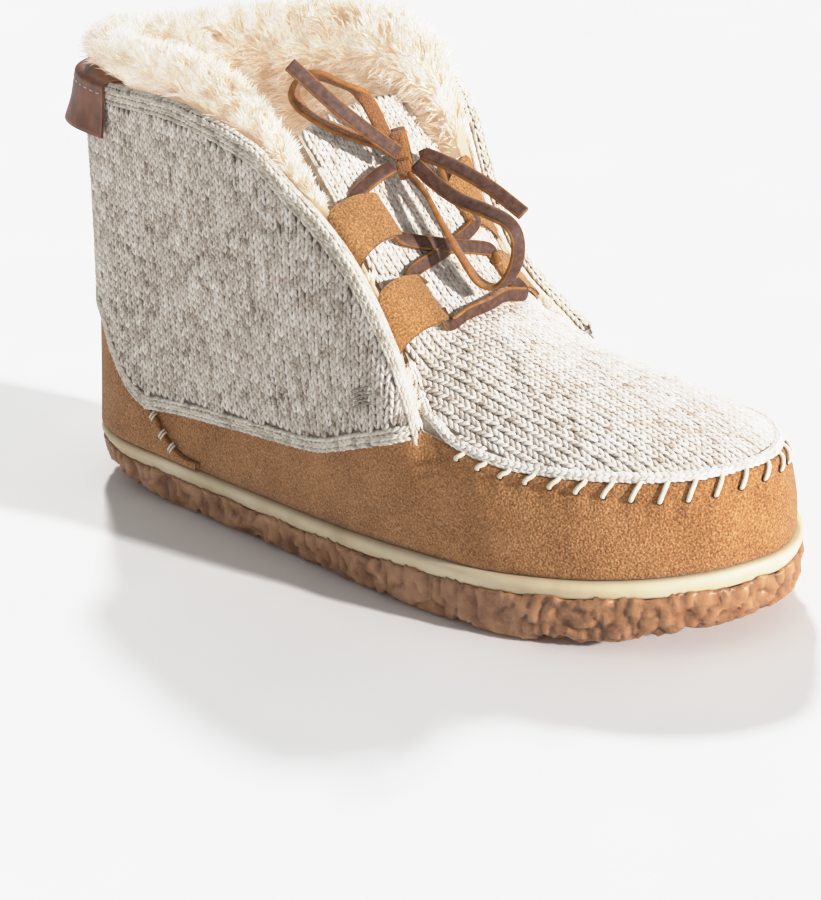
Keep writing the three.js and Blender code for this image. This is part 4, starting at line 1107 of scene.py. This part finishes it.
def make_quarter(last, looks, side):
    name = "lateral" if side < 0 else "medial"
    rng = np.random.default_rng(RNG_SEED + side)
    a = np.linspace(float(station_of(0.00003)), float(station_of(last.flap_end)), 150)
    low = low_share(last, a, side)
    rows = 24
    share = [low + (1 - low) * r / rows for r in range(rows + 1)]
    thick = last.knit
    outer = np.stack([last.offset(a, side, v, last.fit + thick - 0.55) for v in share])
    inner = np.stack([last.offset(a, side, v, last.fit) for v in share])
    # The ground's darker colour is painted shade between the stitches
    ground = shell(f"quarter_{name}_ground", outer, inner, False, use("knit_ground_shade"))
    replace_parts(ground, f"quarter_{name}")

    wale, course, radius = looks.wale / MM, looks.course / MM, looks.yarn / MM
    fine = np.linspace(a[0], a[-1], 600)
    middle = last.point(fine, side, np.clip(last.share_at(fine, side, 75.0), 0, 1))
    run = run_along(middle)
    columns = np.arange(0.5, int(run[-1] / wale)) * wale
    heights = np.arange(30, 156, course)
    u, w = (g.ravel() for g in np.meshgrid(columns, heights, indexing="ij"))
    here = np.interp(u, run, fine)
    v = last.share_at(here, side, w)
    rim_gap = (1 - v) * last.wall_height(here, side)
    bottom = low_share(last, here, side)
    floor_gap = (v - bottom) * last.wall_height(here, side)
    edge = (run[-1] - u > 2.8) & (u > 1.0)
    keep = (rim_gap > 4.7) & (floor_gap > 4.9) & edge
    centres = np.stack([u[keep], w[keep]], -1)

    def at(uu, ww):
        station = np.interp(uu, run, fine)
        vv = np.clip(last.share_at(station, side, ww), 0, 1)
        normal = last.normal(station, side, vv)
        return last.point(station, side, vv) + normal * (last.fit + thick - 0.2), normal

    tones = clumpy(rng, centres, 14, 0.1)
    points, faces, tone = stitch_legs(at, centres, wale, course, radius, rng, tones)
    piece = new_mesh(f"quarter_{name}_knit", points, faces, use("knit"), tone=tone)
    make_hem(last, name, side, a, rng)


def make_hem(last, name, side, a, rng):
    """The turned edges: chains of stitches along the rim and the lower edge, and a sunken stitch line."""
    fine = np.linspace(a[0], a[-1], 900)
    face = last.fit + last.knit

    rim_run = run_along(last.offset(fine, side, 1.0, face))
    edge = low_share(last, fine, side)
    edge_run = run_along(last.offset(fine, side, edge, face))

    def on_rim(below, w):
        station = np.interp(w, rim_run, fine)
        v = 1 - np.maximum(below, 0) / last.wall_height(station, side)
        normal, up = last.normal(station, side, v), last.rim_up(station, side)
        turn = np.maximum(-below, 0)[..., None] / 1.5
        core = last.offset(station, side, v, face - 1.3)
        out = normal * np.cos(turn) + up * np.sin(turn)
        return core + out * 1.55, out

    def on_edge(above, w):
        station = np.interp(w, edge_run, fine)
        v = np.interp(station, fine, edge) + above / last.wall_height(station, side)
        v = np.minimum(v, 1)
        normal = last.normal(station, side, v)
        return last.offset(station, side, v, face - 0.05), normal

    chains = []
    for at, run, columns in ((on_rim, rim_run, (2.9, 0.9, -1.2, -3.1)), (on_edge, edge_run, (2.9, 0.8))):
        u, w = (g.ravel() for g in np.meshgrid(columns, np.arange(1.5, run[-1] - 1, 2.25), indexing="ij"))
        if at is on_edge:
            clear = np.interp(np.interp(w, run, fine), fine, edge) < 0.86
            u, w = u[clear], w[clear]
        centres = np.stack([u, w], -1)
        tones = np.clip(rng.normal(0.62, 0.17, len(u)), 0, 1)
        chains.append(stitch_legs(at, centres, 2.35, 2.25, 0.72, rng, tones))
    shift = len(chains[0][0])
    points = np.concatenate([chains[0][0], chains[1][0]])
    faces = chains[0][1] + [[k + shift for k in face_row] for face_row in chains[1][1]]
    piece = new_mesh(f"quarter_{name}_hem", points, faces, use("hem"),
                     tone=np.concatenate([chains[0][2], chains[1][2]]))

    dashes, normals = [], []
    for at, run in ((on_rim, rim_run), (on_edge, edge_run)):
        starts = np.arange(2, run[-1] - 3, 3.0)
        if at is on_edge:
            starts = starts[np.interp(np.interp(starts, run, fine), fine, edge) < 0.86]
        for k, sink in ((-1.15, 0.75), (-0.5, 0.3), (0.5, 0.3), (1.15, 0.75)):
            point, normal = at(np.full(len(starts), 4.3), starts + k)
            dashes.append(point - normal * sink)
            normals.append(normal)
    count = len(dashes) // 2
    dashes = np.concatenate([np.stack(dashes[:count], 1), np.stack(dashes[count:], 1)])
    normals = np.concatenate([np.stack(normals[:count], 1), np.stack(normals[count:], 1)])
    points, faces = tubes(dashes, normals, np.full(len(dashes), 0.28), [0.8, 1, 1, 0.8], 5)
    piece = new_mesh(f"quarter_{name}_seams", points, faces, use("brown_thread"))
    make_bartack(last, name, side)


def make_bartack(last, name, side):
    """A short bar of thread that holds the quarter's front corner."""
    spines, normals = [], []
    for row in range(5):
        k = np.linspace(0, 1, 5)
        station = station_of(0.5594 + (0.5971 - 0.5594) * k)
        v = 0.525 + (0.7 - 0.525) * k + (row - 2) * 0.016
        lift = last.fit + last.knit + 0.5 - 1.2 * np.abs(k - 0.5) ** 4 * 16
        spines.append(last.offset(station, side, v, lift))
        normals.append(last.normal(station, side, v))
    points, faces = tubes(np.stack(spines), np.stack(normals), np.full(5, 0.36), [0.8, 1, 1, 1, 0.8], 6)
    piece = new_mesh(f"bartack_{name}", points, faces, use("brown_thread"))


def make_plug(last, looks):
    """Knitted plug and tongue in one sheet, its columns along the shoe."""
    rng = np.random.default_rng(RNG_SEED + 5)
    start, end = 0.432, 0.991
    t = start + (end - start) * np.sin(np.linspace(0, math.pi / 2, 90))
    across = np.linspace(-1, 1, 44)
    tt, cc = np.meshgrid(t, across, indexing="ij")
    top = last.plug(tt, cc)
    normal = last.plug_normal(tt, cc)
    tip = np.clip((tt - 0.93) / 0.05, 0, 1)[..., None]
    down = -normal * (1 - tip) + np.array([0, 0, -1.0]) * tip
    edge = np.clip((np.abs(cc) - 0.8) / 0.2, 0, 1) * np.clip((tt - 0.6) / 0.06, 0, 1)
    thick = 3.6 - 2.2 * np.maximum(edge[..., None], tip)
    # The ground's darker colour is painted shade between the stitches
    ground = shell("plug_ground_shade", top - normal * 0.55 * (1 - tip), top + down * thick, False,
                   use("plug_ground_shade", "lining"))
    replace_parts(ground, "plug_tongue")

    wale, course, radius = looks.wale / MM * 0.92, looks.course / MM * 0.92, looks.yarn / MM * 1.02
    fine = np.linspace(start, end, 700)
    middle = last.plug(fine, np.zeros(700))
    run = run_along(middle)
    u, w = (g.ravel() for g in np.meshgrid(np.arange(-42, 42, wale), np.arange(2, run[-1] - 1, course),
                                           indexing="ij"))

    def place(uu, ww):
        s = np.interp(ww, run, fine)
        low, high = last.plug_edge(s, -1)[..., 1], last.plug_edge(s, 1)[..., 1]
        return s, 2 * (uu - low) / (high - low) - 1

    s, c = place(u, w)
    keep = np.abs(c) < 0.985
    centres = np.stack([u[keep], w[keep]], -1)

    def at(uu, ww):
        s2, c2 = place(uu, ww)
        c2 = np.clip(c2, -1, 1)
        n = last.plug_normal(s2, c2)
        return last.plug(s2, c2) - n * 0.05, n

    tones = clumpy(rng, centres, 14, 0.08)
    points, faces, tone = stitch_legs(at, centres, wale, course, radius, rng, tones)
    piece = new_mesh("plug_knit", points, faces, use("plug_knit"), tone=tone)

    share = 0.595 + 0.405 * np.sin(np.linspace(0, math.pi / 2, 400))
    line = np.concatenate([last.plug_edge(share, -1), last.plug_edge(share, 1)[::-1][1:]])
    edge_run = run_along(line)
    tangent = unit(np.gradient(line, axis=0))
    outward = unit(np.cross(tangent, [0, 0, 1.0]))
    outward *= np.sign((outward * (line - np.array([200, 0, 50]))).sum(-1).mean())

    def rolled(uu, ww):
        centre = np.stack([np.interp(ww, edge_run, line[:, k]) for k in range(3)], -1)
        out = unit(np.stack([np.interp(ww, edge_run, outward[:, k]) for k in range(3)], -1))
        turn = uu[..., None] / 1.5
        way = np.array([0, 0, 1.0]) * np.cos(turn) + out * np.sin(turn)
        return centre + way * 1.1, way

    u, w = (g.ravel() for g in np.meshgrid((-2.2, 0, 2.2), np.arange(1, edge_run[-1] - 1, 2.1),
                                           indexing="ij"))
    tones = np.clip(rng.normal(0.6, 0.12, len(u)), 0, 1)
    points, faces, tone = stitch_legs(rolled, np.stack([u, w], -1), 2.5, 2.2, 0.7, rng, tones)
    piece = new_mesh("plug_edge", points, faces, use("plug_knit"), tone=tone)


def make_gusset(last, side):
    """Knit that joins the tongue's edge to the wall below the flap's corner."""
    share = np.linspace(0.605, 0.69, 24)
    edge = last.plug_edge(share, side)
    a = station_of(share)
    v = np.clip(last.share_at(a, side, edge[:, 2] - 0.6), 0, 1)
    wall = last.offset(a, side, v, -last.wall / 2)
    top = np.stack([edge * (1 - k) + wall * k for k in np.linspace(0, 1, 5)])
    name = "lateral" if side < 0 else "medial"
    # Coloured with the plug's darker ground: painted shade in the corner below the flap
    piece = shell(f"gusset_{name}", top, top - np.array([0, 0, 0.8]), False, use("plug_ground_shade", "lining"))


def wander(points, scale, shift):
    """A direction at each point that drifts from one to the next."""
    step, rise = shift
    parts = [Vector((k * step, rise, 0)) for k in range(3)]
    return np.array([[noise.noise(Vector(p) * scale + part) for part in parts] for p in points])


def make_fur(last, looks):
    """Rolled fleece band with hairs over its crest, inside and edge."""
    limit = float(station_of(0.648))
    a = np.linspace(0, limit, 90)
    section = refine(np.array([[(p, q, 0)] * 2 for p, q in FUR_SECTION], float), 34, 2)[:, 0, :2]
    for side in (-1, 1):
        name = "lateral" if side < 0 else "medial"
        rng = np.random.default_rng(RNG_SEED + 20 + side)
        rows = np.stack([last.fur(a, side, np.full(a.shape, p), np.full(a.shape, q)) for p, q in section])
        swell = np.array([[noise.noise(Vector(p) * 0.16) for p in row] for row in rows])
        core = np.stack([np.maximum(rows[..., 0], last.core), np.zeros(rows.shape[:2]), rows[..., 2]], -1)
        rows = rows + unit(core - rows) * (swell * 0.8 * (np.abs(section[:, 0]) > 0.3)[:, None])[..., None]
        faces = grid_faces(len(section), len(a), True, False).tolist()
        faces.append([r * len(a) for r in range(len(section))][::-1])
        faces.append([r * len(a) + len(a) - 1 for r in range(len(section))])
        ground = new_mesh(f"fur_{name}_ground", rows.reshape(-1, 3), faces, use("fur_ground"))
        if side < 0:
            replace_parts(ground, "fur_lining")

        count = looks.hair_count
        station = limit * rng.uniform(0, 1, count)
        places = np.array(FUR_PLACES)
        place = np.interp(rng.uniform(0, 1, count), places[:, 0], places[:, 1])
        keep = (station > float(station_of(0.115))) | (place > 3.9)
        for row in TABS:
            share = share_of(station)
            keep &= (row[0] != side) | (share < row[2] - 0.008) | (share > row[3] + 0.008) | (place > 8.4)
        station, place = station[keep], place[keep]
        count = len(station)
        p = np.interp(place, np.arange(len(FUR_SECTION)), [row[0] for row in FUR_SECTION])
        q = np.interp(place, np.arange(len(FUR_SECTION)), [row[1] for row in FUR_SECTION])
        root = last.fur(station, side, p, q)
        middle = last.fur(station, side, np.full(count, -0.55), np.full(count, -0.1))
        out = unit(root - middle)
        low = place > 8.5
        out[low] = unit(out[low] * 0.2 + unit(np.array([last.core, 0, 0]) - root[low] * [1, 1, 0]))
        clump = wander(root, 0.2, (9, 0))
        fine = wander(root, 0.7, (5, 3))
        lean = unit(out + clump * 0.9 + fine * 0.7 + rng.normal(0, 0.16, (count, 3)))
        full = last.fullness[side](share_of(station))
        length = looks.hair_length / MM * (0.3 + 0.7 * full) * rng.uniform(0.55, 1.05, count)
        bend = clump[:, [1, 2, 0]] * 0.9 + np.array([0, 0, -0.18])
        knee = root + lean * (length * 0.55)[:, None]
        tip = knee + unit(lean + bend) * (length * 0.5)[:, None]
        points, faces = spikes(root - out * 0.6, knee, tip, 0.27 + 0.1 * full)
        # Hair tone: clumps vary at random; the roots and the low inner hairs are painted darker as shade, and
        # the tips painted lighter as light
        tone = np.clip(0.5 + 0.55 * clump[:, 0] + rng.normal(0, 0.12, count) - 0.35 * low, 0, 1)
        tone = tone[:, None] + np.array([-0.2] * 3 + [0.08] * 3 + [0.25])
        hairs = new_mesh(f"fur_{name}_hair", points, faces, use("fur"), tone=np.clip(tone, 0, 1).ravel())


def spikes(root, knee, tip, radius):
    """Many closed three-sided hairs with a bend at the knee."""
    run = unit(knee - root)
    side = unit(np.cross(run, [0.3, 0.5, 0.8]))
    lift = np.cross(run, side)
    rings = []
    for centre, share in ((root, 1.0), (knee, 0.75)):
        for angle in (0, 2 * math.pi / 3, 4 * math.pi / 3):
            spoke = side * math.cos(angle) + lift * math.sin(angle)
            rings.append(centre + spoke * (radius * share)[:, None])
    points = np.stack([*rings, tip], 1)
    base = np.arange(len(root))[:, None, None] * 7
    quads = np.array([[k, (k + 1) % 3, 3 + (k + 1) % 3, 3 + k] for k in range(3)])[None] + base
    ends = np.array([[3, 4, 6], [4, 5, 6], [5, 3, 6], [2, 1, 0]])[None] + base
    return points.reshape(-1, 3), quads.reshape(-1, 4).tolist() + ends.reshape(-1, 3).tolist()


def make_tabs(last):
    """Suede tabs, folded round the lace at their free edge."""
    for row in TABS:
        side = row[0]
        name = f"lace_tab_{'lateral' if side < 0 else 'medial'}_{row[1]}"
        lines = refine(last.tab_lines(row, side), 40, 24)
        normals = grid_normals(lines)
        normals *= np.where(normals[..., 2:].mean() < 0, -1, 1)
        down = np.linspace(0, 1, 40)
        loop = np.clip((down - 0.74) / 0.14, 0, 1)
        half = 0.85 + 0.75 * loop * loop * (3 - 2 * loop)
        half[-3:] = [1.5, 1.2, 0.6]
        half = np.repeat(half[:, None], 24, 1)
        half[:, 0] -= 0.25
        half[:, -1] -= 0.25
        piece = shell(name, lines + normals * half[..., None], lines - normals * 0.8, False, use("tab_suede"))
        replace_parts(piece, name)


def make_counter(last):
    """Heel counter with its cream cross stitches."""
    limit = float(station_of(0.243))
    edge = smooth(COUNTER_EDGE)

    def high(a, side):
        share = share_below(last, a, side, lambda x: edge(x / last.length) * last.collar)
        return np.maximum(share, 0.02)

    a = np.linspace(0, limit, 60)
    outer, inner = [], []
    for r in range(13):
        k = r / 12
        for target, offset in ((outer, last.fit + COUNTER_WALL - 0.35 * k**8), (inner, last.fit)):
            left = last.offset(a[::-1], -1, 0.005 + (high(a[::-1], -1) - 0.005) * k, offset)
            right = last.offset(a[1:], 1, 0.005 + (high(a[1:], 1) - 0.005) * k, offset)
            target.append(np.concatenate([left, right]))
    piece = shell("heel_counter_suede", np.stack(outer), np.stack(inner), False, use("suede"))
    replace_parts(piece, "heel_counter")

    spines, normals = [], []
    for side in (-1, 1):
        for t in (0.163, 0.18, 0.197):
            station = np.array([float(station_of(t))])
            top = high(station, side)
            middle = last.offset(station, side, top, last.fit + 1.7)[0]
            normal = last.normal(station, side, top)[0]
            for shift in (-0.55, 0.55):
                direction = unit(np.array([0.62, 0, 0.78]))
                direction = unit(direction - normal * (direction @ normal))
                along = np.cross(normal, direction)
                centre = middle + along * shift
                spines.append([centre + direction * k * 2.3 + normal * (0.55 - 0.9 * abs(k) ** 3)
                               for k in (-1, -0.5, 0.5, 1)])
                normals.append([normal] * 4)
    points, faces = tubes(np.array(spines), np.array(normals), np.full(len(spines), 0.4), [0.9, 1, 1, 0.9], 6)
    stitches = new_mesh("counter_stitches", points, faces, use("thread"))


def make_label(last):
    """Blank ribbon folded over the back of the rim, with its stitch line."""
    lines = refine(last.label_lines(26), 46, 90)
    normals = grid_normals(lines)
    piece = shell("heel_label", lines + normals * 0.4, lines - normals * 0.4, False, use("ribbon"))
    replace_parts(piece, "heel_label")
    row = lines[13]
    normal = normals[13] * (-1 if (normals[13][45] @ np.array([-1, 0, 0])) < 0 else 1)
    starts = np.arange(2, 86, 4)
    spines = np.stack([np.stack([row[i + k] + normal[i + k] * (0.5 - 0.1 * abs(k - 1)) for k in range(3)])
                       for i in starts])
    points, faces = tubes(spines, np.stack([normal[i : i + 3] for i in starts]), np.full(len(starts), 0.22),
                          [0.8, 1, 0.8], 5)
    stitches = new_mesh("label_stitches", points, faces, use("thread"))


def make_whip(last):
    """Toe seam: slanted stitches over the rim, each from a hole in the suede."""
    share, side_of, run, pitch, final = toe_run(last)

    def stop(distance):
        i = int(np.argmin(np.abs(run - distance)))
        return np.array([float(station_of(share[i]))]), int(side_of[i])

    spines, normals, holes, hole_normals = [], [], [], []
    for distance in final + pitch * np.arange(-(WHIP_COUNT - 1), int((run[-1] - final) / pitch)):
        drop = float(last.hole_drop(share_of(stop(distance)[0]))[0])
        route = []
        for share_down, further, offset, slant in WHIP_ROUTE:
            below = drop * share_down + further
            where, side = stop(distance + slant)
            height = last.wall_height(where, side)
            point = last.offset(where, side, 1 - max(below, 0) / height, offset)[0]
            route.append(point - last.rim_up(where, side)[0] * min(below, 0))
            if len(route) == 2:
                holes.append(last.offset(where, side, 1 - (drop + 0.3) / height, 0.0)[0])
                hole_normals.append(last.normal(where, side, 1 - drop / height)[0])
        spines.append(curve_points(route, 18))
        normals.append(np.repeat(last.normal(where, side, np.array([0.9])), 18, 0))
    points, faces = tubes(np.array(spines), np.array(normals), np.full(len(spines), 0.75), [1] * 18, 8, 0.85)
    piece = new_mesh("toe_stitches", points, faces, use("thread"))
    # Dark plugs at the holes: painted shade in place of open holes
    holes, hole_normals = np.array(holes), np.array(hole_normals)
    spines = np.stack([holes - hole_normals * 0.9, holes - hole_normals * 0.2, holes + hole_normals * 0.1], 1)
    cross = np.repeat(np.cross(hole_normals, [0, 0, 1])[:, None, :], 3, 1)
    points, faces = tubes(spines, cross, np.full(len(holes), 1.0), [1, 1, 0.8], 10, 1.0)
    piece = new_mesh("toe_holes", points, faces, use("hole"))


def make_stage():
    """White floor and sky, a low sun from the toe's side, a softer one from behind, and the tone curve."""
    mesh = bpy.data.meshes.new("floor")
    mesh.from_pydata([(-6, -6, 0), (6, -6, 0), (6, 6, 0), (-6, 6, 0)], [], [(0, 1, 2, 3)])
    made, tree = material("white_floor")
    finish_material(tree, color=ramp(tree, grain(tree, 90, 2), [(0.3, "#F4F4F4"), (0.7, "#FBFBFB")]),
                    rough=0.8,
                    specular=0.1)
    mesh.materials.append(made)
    floor = bpy.data.objects.new("floor", mesh)
    bpy.context.scene.collection.objects.link(floor)
    world = bpy.data.worlds.new("studio")
    world.use_nodes = True
    world.node_tree.nodes["Background"].inputs["Color"].default_value = (1, 1, 1, 1)
    world.node_tree.nodes["Background"].inputs["Strength"].default_value = SKY
    bpy.context.scene.world = world
    for name, energy, size, place in SUNS:
        data = bpy.data.lights.new(name, "SUN")
        data.energy = energy
        data.angle = math.radians(size)
        light = bpy.data.objects.new(name, data)
        light.rotation_euler = Vector(place).to_track_quat("Z", "Y").to_euler()
        bpy.context.scene.collection.objects.link(light)
    view = bpy.context.scene.view_settings
    view.view_transform = "Standard"
    view.use_curve_mapping = True
    curves = view.curve_mapping
    curves.white_level = (WHITE_LEVEL,) * 3
    curve = curves.curves[3]
    for place, value in TONE_CURVE:
        curve.points.new(place, value)
    curves.update()


# Operators


class BootOperator:
    """What the boot's operators share: the sizes and the last."""

    bl_options = {"REGISTER", "UNDO"}

    def execute(self, context):
        sizes = context.scene.boot_sizes
        self.build(sizes, context.scene.boot_looks, Last(sizes))
        return {"FINISHED"}


class BOOT_OT_bow(BootOperator, bpy.types.Operator):
    """Camera and the bow's loops and ends"""

    bl_idname = "boot.bow"
    bl_label = "Bow"

    def build(self, sizes, looks, last):
        MATERIALS.update(make_materials(looks))
        look_from_photo()
        make_bow(sizes)


class BOOT_OT_lace(BootOperator, bpy.types.Operator):
    """Lace bar, crossing, strands and knot"""

    bl_idname = "boot.lace"
    bl_label = "Lace"

    def build(self, sizes, looks, last):
        make_lace(sizes, last)


class BOOT_OT_sole(BootOperator, bpy.types.Operator):
    """Outsole, band and footbed"""

    bl_idname = "boot.sole"
    bl_label = "Sole"

    def build(self, sizes, looks, last):
        make_sole(last)
        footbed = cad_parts["insole"]
        footbed.data.materials.clear()
        footbed.data.materials.append(MATERIALS["footbed"])


class BOOT_OT_upper(BootOperator, bpy.types.Operator):
    """Suede upper, counter and toe seam"""

    bl_idname = "boot.upper"
    bl_label = "Upper"

    def build(self, sizes, looks, last):
        make_upper(last)
        make_counter(last)
        make_whip(last)


class BOOT_OT_knit(BootOperator, bpy.types.Operator):
    """Knitted quarters, plug and tongue"""

    bl_idname = "boot.knit"
    bl_label = "Knit"

    def build(self, sizes, looks, last):
        for side in (-1, 1):
            make_quarter(last, looks, side)
            make_gusset(last, side)
        make_plug(last, looks)


class BOOT_OT_fur(BootOperator, bpy.types.Operator):
    """Fur collar"""

    bl_idname = "boot.fur"
    bl_label = "Fur"

    def build(self, sizes, looks, last):
        make_fur(last, looks)


class BOOT_OT_trim(BootOperator, bpy.types.Operator):
    """Lace tabs and the heel label"""

    bl_idname = "boot.trim"
    bl_label = "Trim"

    def build(self, sizes, looks, last):
        make_tabs(last)
        make_label(last)


class BOOT_OT_stage(BootOperator, bpy.types.Operator):
    """Floor, sky and lights"""

    bl_idname = "boot.stage"
    bl_label = "Stage"

    def build(self, sizes, looks, last):
        make_stage()


class BOOT_PT_panel(bpy.types.Panel):
    """The boot's sizes and steps"""

    bl_label = "Mukluk boot"
    bl_idname = "BOOT_PT_panel"
    bl_space_type = "VIEW_3D"
    bl_region_type = "UI"
    bl_category = "Boot"

    def draw(self, context):
        for group in (context.scene.boot_sizes, context.scene.boot_looks):
            for key in group.__annotations__:
                self.layout.prop(group, key)
        for operator in OPERATORS:
            self.layout.operator(operator.bl_idname)


OPERATORS = (BOOT_OT_bow, BOOT_OT_lace, BOOT_OT_sole, BOOT_OT_upper, BOOT_OT_knit, BOOT_OT_fur, BOOT_OT_trim,
             BOOT_OT_stage)
CLASSES = (BootSizes, BootLooks, *OPERATORS, BOOT_PT_panel)


def register():
    for cls in CLASSES:
        bpy.utils.register_class(cls)
    bpy.types.Scene.boot_sizes = PointerProperty(type=BootSizes)
    bpy.types.Scene.boot_looks = PointerProperty(type=BootLooks)


def unregister():
    del bpy.types.Scene.boot_looks
    del bpy.types.Scene.boot_sizes
    for cls in reversed(CLASSES):
        bpy.utils.unregister_class(cls)


def main():
    register()
    for operator in OPERATORS:
        group, name = operator.bl_idname.split(".")
        getattr(getattr(bpy.ops, group), name)()


if __name__ == "__main__":
    main()
